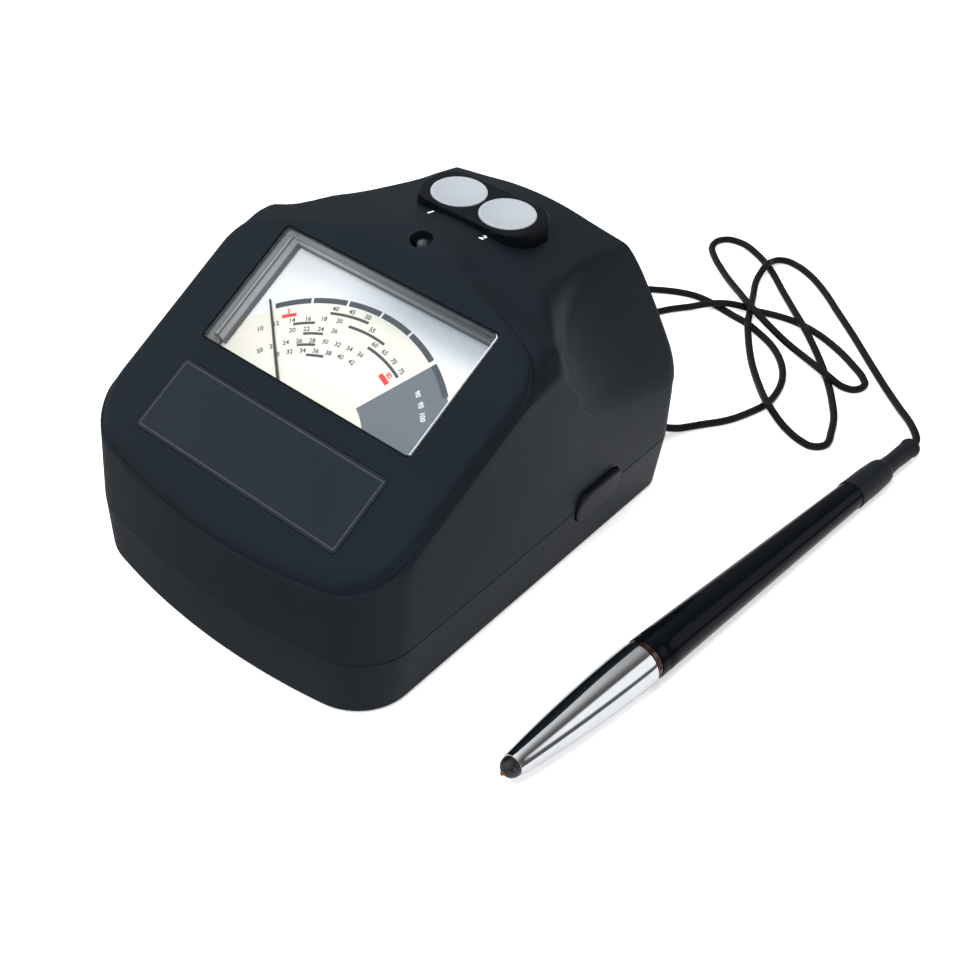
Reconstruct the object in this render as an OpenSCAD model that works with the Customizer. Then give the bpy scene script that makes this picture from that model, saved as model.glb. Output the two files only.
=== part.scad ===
// Desktop gem tester: sloped meter panel, two test discs, side rocker and a pen probe on a cord.
// Millimetres. +Z is up, +Y is the rear and +X the right side. The origin is on the table,
// under the middle of the housing.

/* [Housing] */
// Width across the seam
body_w = 100; // [96:1:112]
// Length from front to rear at the seam
body_l = 131.6; // [128:0.2:140]
// Height of the seam between the two shells
seam_z = 18.2; // [17.4:0.2:21]
// Wall thickness of both shells
wall = 2.2; // [1.8:0.1:2.6]
// Radius of the bowed front face in plan
front_bow = 180; // [150:5:260]
// Radius of the front corners in plan
front_corner = 17; // [12:1:20]
// Radius of the rear corners in plan
rear_corner = 7; // [5:0.5:9]
// How far the upper wall leans in
upper_draft = 0.9; // [0.5:0.1:1.5]
// How far the base leans in
base_draft = 1.8; // [1:0.1:2.5]
// Rounding of the base's bottom edge
base_edge = 2.5; // [1.5:0.1:3]

/* [Panel] */
// Slope of the panel in degrees
panel_tilt = 30; // [27:0.5:32]
// Height of the panel's front edge
panel_front_z = 38.9; // [37:0.1:42]
// Ledge between the panel's edge and the wall, in plan
panel_margin = 0.9; // [0.6:0.1:1.5]
// Rounding of the panel's edge
panel_edge = 2.5; // [1.5:0.1:3]
// Depth of the panel in plan
panel_depth = 72.8; // [70:0.2:76]
// Radius of the panel's bowed rear edge in plan
panel_rear_bow = 112; // [95:1:140]
// Radius of the panel's rear corners in plan
panel_rear_corner = 11; // [8:0.5:15]
// Width of the name plate
name_w = 66.6; // [50:0.2:70]
// Length of the name plate up the slope
name_l = 21; // [14:0.5:22]
// Distance of the name plate from the panel's front edge, up the slope
name_s = 10.7; // [8:0.1:14]

/* [Hood] */
// Depth of the lamp facet behind the panel
lamp_depth = 5.2; // [4.6:0.1:7]
// Slope of the lamp facet in degrees
lamp_tilt = 16; // [12:1:20]
// Half width of the lamp facet
lamp_half = 16; // [12:1:20]
// Drop from the panel's rear edge to the lamp facet
lamp_step = 0.3; // [0.2:0.1:0.8]
// Fall of the roof to the rear, rise over run
roof_fall = 0.192; // [0.16:0.002:0.21]
// Fall of the roof to the sides beside the panel, rise over run
side_fall = 0.2; // [0.16:0.01:0.26]
// Fall of the roof to the sides at the rear, rise over run
rear_fall = 0.137; // [0.1:0.001:0.2]
// Slope of the leaning side faces, rise over run
face_slope = 1.61; // [1.4:0.01:1.9]
// Height of the side wall's straight top line, behind the panel
side_z = 47.9; // [46:0.1:50]
// Fall of the side wall to the rear, rise over run
side_slope = 0.205; // [0.15:0.005:0.25]
// Extra height of the side wall where it sweeps up to the panel
side_rise = 19.5; // [16:0.1:21]
// Length of the side wall's sweep
side_run = 11.3; // [9:0.1:13]
// Width of the rounded rear edge
rear_round_w = 4.5; // [3.5:0.1:7]
// Height of the rounded rear edge
rear_round_h = 35.6; // [30:0.2:38]

/* [Meter] */
// Width of the window
window_w = 67.4; // [60:0.2:70]
// Length of the window up the slope
window_l = 35.6; // [30:0.2:37]
// Distance of the window from the panel's front edge, up the slope
window_s = 38.4; // [37:0.1:40]
// Distance of the pointer's pivot from the panel's front edge, up the slope
pivot_s = 27.2; // [26.5:0.1:30]
// Depth of the dial below the panel
dial_depth = 9; // [8.6:0.1:10]
// Length of the pointer
pointer_l = 42.4; // [36:0.2:44]
// Angle of the pointer at rest, left of straight up the slope
pointer_rest = 45; // [40:1:45]

/* [Test discs] */
// Distance of the disc block behind the panel's rear edge
block_gap = 26.9; // [24:0.1:32]
// Width of the disc block
block_w = 35; // [32:0.2:40]
// Depth of the disc block from front to rear
block_d = 17.2; // [16.4:0.2:20]
// Corner radius of the disc block
block_r = 6.5; // [4:0.1:8]
// Height of the block's top above the roof at its middle
block_rise = 3.15; // [2:0.05:5]
// Diameter of the test discs
disc_d = 14.6; // [10:0.1:15]
// Distance between the disc centres
disc_pitch = 15.5; // [15.2:0.1:17]

/* [Switch] */
// Length of the power rocker along the wall
rocker_l = 18.6; // [14:0.2:20]
// Height of the power rocker
rocker_h = 11; // [9:0.2:12]
// How far the power rocker stands out of the wall
rocker_out = 1.8; // [1.2:0.1:2.5]
// Distance of the power rocker from the rear face
rocker_back = 37; // [32:0.2:42]

/* [Probe] */
// Radius of the cone at the barrel
cone_r = 5.9; // [5.6:0.1:7]
// Radius of the cone's front end
cone_tip_r = 2.95; // [2.8:0.05:3.5]
// Length of the cone
cone_l = 46; // [44:0.5:50]
// Length of the barrel
barrel_l = 92; // [80:1:100]
// Radius of the barrel at its tail
barrel_tail_r = 4; // [3.8:0.1:4.6]
// Travel of the sprung tip
tip_travel = 0.8; // [0.4:0.1:1]
// Diameter of the cord
cord_d = 2.2; // [1.8:0.1:2.4]
// Turn of the pen from the housing's length, in degrees
pen_turn = 4.34; // [3:0.02:6]
// Distance of the pen's fattest point from the right wall
pen_side = 36.45; // [34:0.05:40]

/* [Hidden] */
$fn = 48;
// Clearance round a fixed piece in its seat
fit = 0.15;
// Radial clearance of a running fit
run = 0.05;
// Height of the base's underside over the table
base_z = 1.5;
half_w = body_w / 2;
half_l = body_l / 2;

// Outline of the housing in plan: bowed front, front corner, side, rear corner, straight rear
corner_x = half_w - front_corner;
bow_y = front_bow - half_l;
corner_y = bow_y - sqrt(pow(front_bow - front_corner, 2) - pow(corner_x, 2));
corner_a = atan2(corner_y - bow_y, corner_x);
rear_x = half_w - rear_corner;
rear_y = half_l - rear_corner;

// Outline of the panel in plan: it follows the housing, and has a bowed rear edge
panel_in = upper_draft + panel_margin;
panel_y0 = panel_in - half_l;
panel_y1 = panel_y0 + panel_depth;
panel_cx = half_w - panel_in - panel_rear_corner;
panel_by = panel_y1 - panel_rear_bow;
panel_cy = panel_by + sqrt(pow(panel_rear_bow - panel_rear_corner, 2) - pow(panel_cx, 2));
panel_ca = atan2(panel_cy - panel_by, panel_cx);

// Steps along the half outline
bow_n = 5;
corner_n = 6;
flank_n = 4;
hip_n = 12;
tail_n = 5;
back_n = 9;
i1 = bow_n;
i2 = i1 + corner_n;
i3 = i2 + flank_n;
i4 = i3 + hip_n;
i5 = i4 + tail_n;
last = i5 + back_n;

function lerp(a, b, t) = a + (b - a) * t;
function ease(t) = let(c = min(max(t, 0), 1)) c * c * (3 - 2 * c);
function arc_pt(x, y, r, a) = [x + r * cos(a), y + r * sin(a)];

// Point of the right half outline, from the front middle to the rear middle, moved in by d
function edge_pt(i, d) =
    i < i1 ? arc_pt(0, bow_y, front_bow - d, lerp(-90, corner_a, i / bow_n)) :
    i < i2 ? arc_pt(corner_x, corner_y, front_corner - d, lerp(corner_a, 0, (i - i1) / corner_n)) :
    i < i3 ? [half_w - d, lerp(corner_y, panel_cy, (i - i2) / flank_n)] :
    i < i4 ? [half_w - d, lerp(panel_cy, rear_y, (i - i3) / hip_n)] :
    i < i5 ? arc_pt(rear_x, rear_y, rear_corner - d, lerp(0, 90, (i - i4) / tail_n)) :
    [lerp(rear_x, 0, (i - i5) / back_n), half_l - d];

// Matching point of the panel's outline
function panel_pt(i, d) =
    i < i3 ? edge_pt(i, panel_in + d) :
    i < i4 ? arc_pt(panel_cx, panel_cy, panel_rear_corner - d, lerp(0, panel_ca, (i - i3) / hip_n)) :
    arc_pt(0, panel_by, panel_rear_bow - d, lerp(panel_ca, 90, (i - i4) / (last - i4)));

// Heights of the panel, of the lamp facet and of the roof behind it
function panel_z(y) = panel_front_z + (y - panel_y0) * tan(panel_tilt);
crest_y = panel_y1 + lamp_depth;
crest_z = panel_z(panel_y1) - lamp_step + lamp_depth * tan(lamp_tilt);
facet_y = panel_y1 - pow(lamp_half, 2) / (2 * panel_rear_bow);
crown = (tan(lamp_tilt) + roof_fall) * (crest_y - facet_y);
crown_left = 0.5;
shoulder_y = panel_y1 - 0.6;
shoulder_run = 10.7;
function side_drop(x, y) =
    let(t = ease((y - shoulder_y) / shoulder_run), c = crown * lerp(1, crown_left, t))
    abs(x) < lamp_half ? c * pow(x / lamp_half, 2) :
    c + lerp(side_fall, rear_fall, t) * (abs(x) - lamp_half);
function facet_z(y) = crest_z - (crest_y - y) * tan(lamp_tilt);
function hood_z(x, y) = crest_z + roof_fall * (crest_y - y) - side_drop(x, y);
function foot_step(y) = lerp(panel_edge, lamp_step, ease((y - panel_cy) / (panel_y1 - panel_cy)));
function roof_z(x, y) = min(panel_z(y) - foot_step(y), facet_z(y), hood_z(x, y));

// Leaning side faces, and the soft edges between all faces
corner_blend = 4;
face_soft = 2.7;
ledge_r = 1;
ledge_more = 3.5;
function wall_top(y) =
    side_z + side_rise * exp(-(y - shoulder_y) / side_run) - side_slope * (y - shoulder_y);
function face_z(x, y, g) =
    wall_top(y) + face_slope * (half_w - upper_draft - abs(x)) - g * sqrt(1 + pow(face_slope, 2));
function ledge(y) =
    ledge_r + ledge_more * ease((y - shoulder_y + 19) / 12) * (1 - ease((y - shoulder_y + 4) / 8));
function soft_min(a, b, k) = min(a, b) - pow(max(k - abs(a - b), 0), 2) / (4 * k);
function edge_gap(x, y) =
    let(qx = abs(x) - rear_x, qy = y - rear_y)
    let(m = max(qx, qy) + pow(max(corner_blend - abs(qx - qy), 0), 2) / (4 * corner_blend))
    rear_corner - upper_draft - norm([max(qx, 0), max(qy, 0)]) - min(m, 0);
function drop(e, a, b) = e >= a ? 0 : b * (1 - sqrt(1 - pow((a - max(e, 0)) / a, 2)));
function shell_z(x, y, g) =
    let(r = ledge(y), e = half_l - upper_draft - y - g)
    soft_min(roof_z(x, y) - g - drop(e, rear_round_w, rear_round_h), face_z(x, y, g), face_soft)
    - drop(edge_gap(x, y) - g, r, r);

// Rings of points round the housing
function mirrored(r) = concat(r, [for (i = [last - 1 : -1 : 1]) [-r[i][0], r[i][1], r[i][2]]]);
function flat_ring(d, z) = mirrored([for (i = [0 : last]) let(p = edge_pt(i, d)) [p[0], p[1], z]]);
rear_share = 1.8;
function share(i, t) = pow(t, i <= i3 ? 1 : rear_share);
function slope_pt(i, t, g, d) = lerp(edge_pt(i, upper_draft + g), panel_pt(i, d), share(i, t));
function slope_ring(t, g, d) =
    mirrored([for (i = [0 : last]) let(p = slope_pt(i, t, g, d)) [p[0], p[1], shell_z(p[0], p[1], g)]]);
function outer_ring(t) =
    mirrored([for (i = [0 : last]) let(p = slope_pt(i, t, 0, 0))
        [p[0], p[1], min(shell_z(p[0], p[1], 0), panel_z(p[1]) - lamp_step)]]);
function proud(i) =
    let(p = panel_pt(i, 0))
    panel_z(p[1]) - min(shell_z(p[0], p[1], 0), panel_z(p[1]) - lamp_step);
function rim_ring(a) =
    mirrored([for (i = [0 : last]) let(p = panel_pt(i, panel_edge * (1 - cos(a))))
        [p[0], p[1], panel_z(p[1]) - proud(i) * (1 - sin(a))]]);
function under_ring(g) =
    mirrored([for (i = [0 : last]) let(p = panel_pt(i, panel_edge + g)) [p[0], p[1], panel_z(p[1]) - g]]);
function hood_rings(g) =
    concat([flat_ring(g, seam_z)], [for (k = [0 : 6]) slope_ring(k / 6, g, panel_edge + g)], [under_ring(g)]);
crest_t = pow((half_l - upper_draft - crest_y) / (half_l - upper_draft - panel_y1), 1 / rear_share);
ring_steps = [0, 0.12, 0.24, 0.36, 0.48, 0.6, 0.7, 0.8, 0.88, crest_t, 1];
function outer_rings() =
    concat([flat_ring(0, seam_z)], [for (t = ring_steps) outer_ring(t)], [for (a = [30, 60, 90]) rim_ring(a)]);
function turned(r) = [for (k = [len(r) - 1 : -1 : 0]) r[k]];
function base_rings() =
    concat([for (a = [90, 60, 30, 0])
        flat_ring(base_draft + base_edge * (1 - cos(a)), base_z + base_edge * (1 - sin(a)))],
        [flat_ring(0, seam_z), flat_ring(wall, seam_z), flat_ring(wall + base_draft, base_z + wall)]);

// Solid through rings of points, closed at both ends
module loft(rings) {
    n = len(rings[0]);
    m = len(rings);
    points = [for (r = rings) for (p = r) p];
    sides = [for (k = [0 : m - 2]) for (i = [0 : n - 1]) for (f = [0, 1])
        let(a = k * n + i, b = k * n + (i + 1) % n)
        f == 0 ? [a, b + n, b] : [a, a + n, b + n]];
    low = [[for (i = [0 : n - 1]) i]];
    high = [[for (i = [n - 1 : -1 : 0]) (m - 1) * n + i]];
    polyhedron(points = points, faces = concat(low, sides, high));
}

// Round tube along a path, with the directions at its two ends
function unit(v) = v / norm(v);
function path_dir(p, i, from, to) =
    i == 0 ? from : i == len(p) - 1 ? to :
    let(a = norm(p[i] - p[i - 1]), b = norm(p[i + 1] - p[i]))
    ((p[i + 1] - p[i]) / b * a + (p[i] - p[i - 1]) / a * b) / (a + b);
function path_at(p, i, t, from, to) =
    let(h = norm(p[i + 1] - p[i]), u = path_dir(p, i, from, to), v = path_dir(p, i + 1, from, to))
    p[i] * (2 * t * t * t - 3 * t * t + 1) + p[i + 1] * (3 * t * t - 2 * t * t * t)
    + u * h * (t * t * t - 2 * t * t + t) + v * h * (t * t * t - t * t);
function path_run(p, pitch, from, to) =
    concat([for (i = [0 : len(p) - 2])
        let(n = max(2, round(norm(p[i + 1] - p[i]) / pitch)))
        for (k = [0 : n - 1]) path_at(p, i, k / n, from, to)], [p[len(p) - 1]]);
function tube_ring(c, dir, r, sides, turn) =
    let(t = unit(dir), s = unit(cross(t, [0, 0, 1])), v = cross(t, s))
    [for (j = [0 : sides - 1]) c + r * (s * cos(turn + 360 * j / sides) + v * sin(turn + 360 * j / sides))];
module tube(c, r, sides, turn, from, to) {
    n = len(c);
    loft([for (k = [0 : n - 1])
        tube_ring(c[k], k == 0 ? from : k == n - 1 ? to : c[k + 1] - c[k - 1], r, sides, turn)]);
}

// Flat shapes with rounded corners, and where the groups sit
module rounded(w, l, r) {
    square([w - 2 * r, l], center = true);
    square([w, l - 2 * r], center = true);
    for (x = [-1, 1], y = [-1, 1])
        translate([x * (w / 2 - r), y * (l / 2 - r)])
            circle(r);
}
module slab(w, l, r, z0, z1) {
    translate([0, 0, z0])
        linear_extrude(height = z1 - z0)
            rounded(w, l, r);
}
module rod(r, z0, z1) {
    translate([0, 0, z0])
        cylinder(r = r, h = z1 - z0);
}
module on_panel(x, s) {
    translate([0, panel_y0, panel_front_z])
        rotate([panel_tilt, 0, 0])
            translate([x, s, 0])
                children();
}
module at_corners(x, y0, y1) {
    for (sx = [-1, 1], y = [y0, y1])
        translate([sx * x, y, 0])
            children();
}

// Window, name plate and meter
window_c = window_s + window_l / 2;
name_c = name_s + name_l / 2;
name_sink = 0.5;
lens_lip = 2;
lens_t = 1.2;
case_wall = 1.5;
case_x = window_w / 2 + lens_lip + case_wall;
case_s0 = pivot_s - 15;
case_s1 = window_s + window_l + lens_lip + 0.4;
dial_t = 0.8;
dial_x = window_w / 2 + 0.6;
dial_s0 = window_s - 1.2;
dial_s1 = window_s + window_l + 0.6;
magnet_top = dial_depth + 2;
magnet_t = 8.2;
magnet_low = magnet_top + magnet_t;
case_floor = magnet_low + 5;
coil_top = magnet_top - 1.4;
coil_low = magnet_low + 1.6;
bore_r = 8.5;
core_r = 6.3;
staff_r = 0.5;
bridge_x = 14.5;
post_x = 13;
bridge_t = 1.5;
bridge_low = dial_depth - 3.2;
bridge_under = magnet_low + 3.2;
pointer_deep = dial_depth - 0.8;
ear_x = case_x + 3;
ear_s = [window_s - 2.4, window_s + window_l - 14];
rim_deep = wall + lens_t;
rim_s = window_s + window_l - 10;
ear_deep = 4;
ear_t = 2;
ear_r = 3;

// Lamp, disc block and discs
lamp_y = panel_y1 + lamp_depth * 0.55;
lamp_r = 1.5;
lamp_seat = 2.9;
lamp_sink = 4.5;
block_y = panel_y1 + block_gap;
block_top = roof_z(0, block_y) + block_rise;
block_h = 9.2;
block_low = block_top - block_h;
disc_t = 2.2;
disc_proud = 0.15;
cup_t = 2;
cup_low = block_low - cup_t;

// Switch on the right wall, across the seam
rocker_y = half_l - rocker_back;
rocker_x1 = half_w + rocker_out;
rocker_x0 = half_w - 5.8;
rocker_r = 2;
rocker_gap = 0.4;
pin_x = half_w - 4.8;
pin_r = 1;
cheek_t = 1.7;
cheek_z = rocker_h / 2 + rocker_gap;
switch_x0 = half_w - 14;
switch_x1 = rocker_x0 - 1;
switch_l = rocker_l - 1;

// Screws, feet and board
screw_r = 1.35;
screw_head = 2.7;
screw_deep = 5;
boss_r = 4.2;
post_r = 3.4;
screw_at = [[half_w - 9, 17 - half_l], [half_w - 9, half_l - 15]];
screw_up = 10;
foot_r = 4.5;
foot_in = half_w - 12;
foot_y = [31 - half_l, half_l - 26];
foot_sink = 1;
floor_z = base_z + wall;
board_x = 33;
board_y0 = 17 - half_l;
board_y1 = panel_y1;
board_z = floor_z + 4.5;
board_t = 1.6;
stud_x = board_x - 5;
stud_y = [board_y0 + 6, board_y1 - 6];

// Battery bay, door and cells
cell_r = 5.25;
cell_l = 44.5;
cell_pitch = 11;
bay_x = cell_l / 2 + 3.25;
bay_y1 = half_l - 14.4;
bay_y0 = bay_y1 - 2 * cell_pitch - 2 * cell_r - 0.7;
cell_y = [for (k = [0 : 2]) bay_y0 + 0.35 + cell_r + k * cell_pitch];
door_t = 1.8;
door_x = bay_x + 1.5;
door_y0 = bay_y0 - 1.5;
door_y1 = half_l - base_draft - base_edge - 0.1;
door_top = base_z + door_t;
tongue = 1.2;
tongue_z = 0.7;
tongue_t = 0.8;
cell_z = door_top + 0.2 + cell_r;
bay_z = cell_z + cell_r + 0.4;

// Rear wall: charging socket and cord gland
socket_x = 8 - half_w + 12;
socket_w = 7.8;
socket_h = 3.8;
socket_z = floor_z + 4.4;
wall_lean = base_draft / (seam_z - base_z - base_edge);
gland_x = half_w - 14;
gland_z = 7;
gland_y = half_l - (seam_z - gland_z) * wall_lean + 0.46;
gland_r = 3.2;
gland_end = half_l + 4;

// Pen probe, drawn along its axis from the cone's rear end
ring_l = 2;
tail_w = ring_l + barrel_l;
sleeve_l = 16;
end_l = 12;
pen_w = tail_w + sleeve_l + end_l;
lip_l = 1.2;
lip_r = barrel_tail_r + 0.3;
pen_dip = asin((cone_r - lip_r) / (tail_w - lip_l));
pen_x = half_w + pen_side;
pen_y = half_l - 68.2;
pen_z = cone_r + 0.03;
core_seat = 4.25;
tip_r = 0.5;
nose_r = 2.65;
nose_l = 3.1;
nose_seat = 4.5;
spring_end = 13;
core_tail = 36;
core_collar = 14;
core_in = 6;
cord_sleeve_r = 2.6;
spring_r = 0.22;
pen_dir = [sin(pen_turn) * cos(pen_dip), cos(pen_turn) * cos(pen_dip), -sin(pen_dip)];
pen_end = [pen_x, pen_y, pen_z] + pen_dir * pen_w;
module on_pen() {
    translate([pen_x, pen_y, pen_z])
        rotate([0, 0, -pen_turn])
            rotate([-90 - pen_dip, 0, 0])
                children();
}

// Route of the cord, from the gland to the pen's tail
route_x = half_w - 50;
route_y = half_l - 62.6;
route_loops = [
    [36.6, 77.2, 5.6], [40, 81.5, 2.6], [47, 91.5, 1.2], [53, 105, 1.2], [53, 118, 1.2], [46, 132, 1.2],
    [33, 141.5, 1.2], [15, 144.5, 1.2], [-3, 138.5, 1.2], [-12, 129, 1.2], [-8, 121, 1.2], [3, 131.5, 1.4],
    [15, 143.3, 3.7], [25, 149.4, 1.3], [43, 153.8, 1.2], [62, 147.8, 1.2], [73, 138, 1.2], [69, 133, 1.4],
    [59.5, 134.8, 3.7], [43, 140.6, 2.6], [26, 150, 6.1], [10, 160, 1.8], [-3.5, 174.5, 1.2], [0, 182.3, 1.2],
    [16.5, 176.6, 1.2], [46.3, 151.2, 3.8], [59, 136, 1.2], [73, 115, 1.2], [74, 104, 1.2], [66, 103.5, 1.3],
    [54, 111.3, 3.7], [38, 129, 1.6], [27, 147, 3.7], [17, 169, 2.6], [17, 180.5, 3.6], [29, 182.5, 1.3],
    [88, 136, 1.3], [94.6, 126.5, 2]
];
route = concat([[gland_x, gland_end, gland_z]],
    [for (p = route_loops) [p[0] + route_x, p[1] + route_y, p[2]]],
    [pen_end + pen_dir * 4, pen_end]);
cord_path = [for (p = path_run(route, 9, [0, 1, 0], -pen_dir)) [p[0], p[1], max(p[2], cord_d / 2 + 0.02)]];

// Cutters shared by the two shells
module switch_opening() {
    translate([half_w - 6, rocker_y, seam_z])
        rotate([90, 0, 90])
            slab(rocker_l + 2 * rocker_gap, rocker_h + 2 * rocker_gap, rocker_r + rocker_gap, 0, 12);
}
module lamp_frame() {
    translate([0, lamp_y, facet_z(lamp_y)])
        rotate([lamp_tilt, 0, 0])
            children();
}

module upper_housing() {
    color([0.15, 0.165, 0.2])
        difference() {
            union() {
                loft(concat(turned(hood_rings(wall)), outer_rings()));
                intersection() {
                    loft(hood_rings(wall / 2));
                    union() {
                        translate([0, block_y, 0])
                            slab(block_w + 2 * cup_t, block_d + 2 * cup_t, block_r + cup_t, cup_low, crest_z);
                        for (p = screw_at, sx = [-1, 1])
                            translate([sx * p[0], p[1], 0])
                                rod(post_r, seam_z, crest_z);
                        for (sx = [-1, 1], s = ear_s)
                            on_panel(sx * ear_x, s)
                                rod(ear_r, -ear_deep, -0.5);
                    }
                }
            }
            on_panel(0, window_c)
                slab(window_w, window_l, 1, -wall - 8, 1);
            on_panel(0, name_c)
                slab(name_w + 2 * fit, name_l + 2 * fit, 1.2, -name_sink, 1);
            lamp_frame() {
                rod(lamp_seat, -0.9, 3);
                rod(lamp_r + fit, -6, 1);
                rod(lamp_r + 0.8, -12, -lamp_sink);
            }
            translate([0, block_y, 0])
                slab(block_w + 2 * fit, block_d + 2 * fit, block_r + fit, block_low, crest_z + 5);
            for (p = screw_at, sx = [-1, 1])
                translate([sx * p[0], p[1], 0])
                    rod(screw_r + run, seam_z - 1, seam_z + screw_up + 1);
            for (sx = [-1, 1], s = ear_s)
                on_panel(sx * ear_x, s)
                    rod(1.1, -ear_deep - 1, -1);
            switch_opening();
        }
}

module lower_housing() {
    color([0.14, 0.155, 0.19])
        difference() {
            union() {
                loft(base_rings());
                for (p = screw_at, sx = [-1, 1])
                    translate([sx * p[0], p[1], 0])
                        rod(boss_r, base_z + 0.4, seam_z);
                at_corners(stud_x, stud_y[0], stud_y[1])
                    rod(3, base_z + 0.4, board_z);
                translate([-bay_x - 1.5, bay_y0 - 1.5, base_z + 0.4])
                    cube([2 * bay_x + 3, bay_y1 - bay_y0 + 3, bay_z + 1.5 - base_z - 0.4]);
                translate([-door_x - 3, door_y0, base_z + 0.4])
                    cube([2 * door_x + 6, half_l - base_draft - 1 - door_y0, wall + 1]);
                translate([switch_x0 + 1, rocker_y - 5, base_z + 0.4])
                    cube([switch_x1 - switch_x0 - 2, 10, seam_z - cheek_z - cheek_t - base_z - 0.4]);
                translate([socket_x - 3, half_l - 11, base_z + 0.4])
                    cube([6, 7, socket_z - base_z - 0.4]);
            }
            for (p = screw_at, sx = [-1, 1])
                translate([sx * p[0], p[1], 0]) {
                    rod(screw_head + 0.3, 0, base_z + screw_deep);
                    rod(screw_r + 0.3, 0, seam_z + 1);
                }
            at_corners(foot_in, foot_y[0], foot_y[1])
                rod(foot_r + fit, 0, base_z + foot_sink);
            at_corners(stud_x, stud_y[0], stud_y[1])
                rod(1.05 + run, floor_z, board_z + 1);
            translate([-bay_x, bay_y0, 0])
                cube([2 * bay_x, bay_y1 - bay_y0, bay_z]);
            translate([-door_x - fit, door_y0 - fit, 0])
                cube([2 * door_x + 2 * fit, half_l + 2 - door_y0, door_top + 0.1]);
            translate([-door_x - tongue - fit, door_y0 - fit, base_z + tongue_z - 0.1])
                cube([2 * door_x + 2 * tongue + 2 * fit, half_l + 2 - door_y0, tongue_t + 0.2]);
            translate([socket_x - socket_w / 2 - fit, half_l - 6, socket_z - fit])
                cube([socket_w + 2 * fit, 8, socket_h + 2 * fit]);
            translate([gland_x, half_l - 7, gland_z])
                rotate([-90, 0, 0])
                    cylinder(r = 2.5, h = 9);
            switch_opening();
        }
}

module name_plate() {
    color([0.13, 0.14, 0.17])
        on_panel(0, name_c)
            slab(name_w, name_l, 1, -name_sink, 0.15);
}

module meter_lens() {
    color([0.9, 0.93, 0.95, 0.35])
        on_panel(0, window_c) {
            slab(window_w - 2 * fit, window_l - 2 * fit, 1, -wall - 0.4, 0.2);
            translate([-window_w / 2 - lens_lip, -window_l / 2 - lens_lip, -wall - lens_t])
                cube([window_w + 2 * lens_lip, window_l + lens_lip - 8, lens_t]);
            slab(window_w - 2 * fit, window_l - 2 * fit, 1, -wall - lens_t, -wall);
        }
}

module meter_case() {
    color([0.9, 0.9, 0.88])
        on_panel(0, 0)
            difference() {
                union() {
                    translate([-case_x, case_s0, -case_floor - case_wall])
                        cube([2 * case_x, case_s1 - case_s0, case_floor + case_wall - rim_deep]);
                    for (sx = [-1, 1], s = ear_s) {
                        translate([sx * ear_x, s, 0])
                            rod(ear_r, -ear_deep - ear_t, -ear_deep);
                        translate([sx * (case_x + 1), s, -ear_deep - ear_t / 2])
                            cube([4, 2 * ear_r, ear_t], center = true);
                    }
                }
                translate([-case_x - 1, rim_s, -dial_depth + 1.5])
                    cube([2 * case_x + 2, 40, dial_depth]);
                translate([-dial_x - fit, case_s0 + case_wall, -dial_depth - dial_t])
                    cube([2 * dial_x + 2 * fit, dial_s1 + fit - case_s0 - case_wall, dial_depth]);
                difference() {
                    translate([2 - dial_x, case_s0 + case_wall, -case_floor])
                        cube([2 * dial_x - 4, dial_s1 - 2 - case_s0 - case_wall, case_floor]);
                    for (x = [-11.5, 11.5], s = [-8, 8])
                        translate([x, pivot_s + s, 0])
                            rod(2.4, -case_floor - 1, -magnet_low);
                }
                for (sx = [-1, 1], s = ear_s)
                    translate([sx * ear_x, s, 0])
                        rod(1.25, -ear_deep - ear_t - 1, -ear_deep + 1);
            }
}

module dial_plate() {
    color([0.93, 0.92, 0.88])
        on_panel(0, 0)
            translate([-dial_x, dial_s0, -dial_depth - dial_t])
                cube([2 * dial_x, dial_s1 - dial_s0, dial_t]);
}

module meter_magnet() {
    color([0.35, 0.36, 0.38])
        on_panel(0, pivot_s)
            difference() {
                translate([-16, -11, -magnet_low])
                    cube([32, 22, magnet_t]);
                rod(bore_r, -magnet_low - 1, -magnet_top + 1);
                translate([-2.1, -12, -magnet_low + 3.2])
                    cube([4.2, 24, magnet_t]);
            }
}

module meter_core() {
    color([0.55, 0.56, 0.58])
        on_panel(0, pivot_s) {
            rod(core_r, -magnet_low, -magnet_top);
            translate([-2, -11, -magnet_low + 3.2])
                cube([4, 22, 2]);
        }
}

module upper_bridge() {
    color([0.75, 0.63, 0.35])
        on_panel(0, pivot_s)
            difference() {
                union() {
                    translate([-bridge_x, -2.5, -bridge_low])
                        cube([2 * bridge_x, 5, bridge_t]);
                    for (x = [-post_x, post_x])
                        translate([x, 0, 0])
                            rod(1.4, -magnet_top, -bridge_low + 0.5);
                }
                rod(1.3, -bridge_low - 1, -bridge_low + bridge_t + 1);
            }
}

module lower_bridge() {
    color([0.75, 0.63, 0.35])
        on_panel(0, pivot_s)
            difference() {
                union() {
                    translate([-bridge_x, -2.5, -bridge_under - 1.2])
                        cube([2 * bridge_x, 5, 1.2]);
                    for (x = [-post_x, post_x])
                        translate([x, 0, 0])
                            rod(1.4, -bridge_under - 0.5, -magnet_low);
                }
                rod(1.3, -bridge_under - 2, -bridge_under + 1);
            }
}

module pivot_jewels() {
    color([0.7, 0.15, 0.2])
        on_panel(0, pivot_s) {
            difference() {
                rod(1.25, -bridge_low - 0.2, -bridge_low + bridge_t + 0.3);
                rod(staff_r + run, -bridge_low - 1, -bridge_low + 0.8);
            }
            difference() {
                rod(1.25, -bridge_under - 1.5, -bridge_under + 0.2);
                rod(staff_r + run, -bridge_under - 1, -bridge_under + 1);
            }
        }
}

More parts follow.
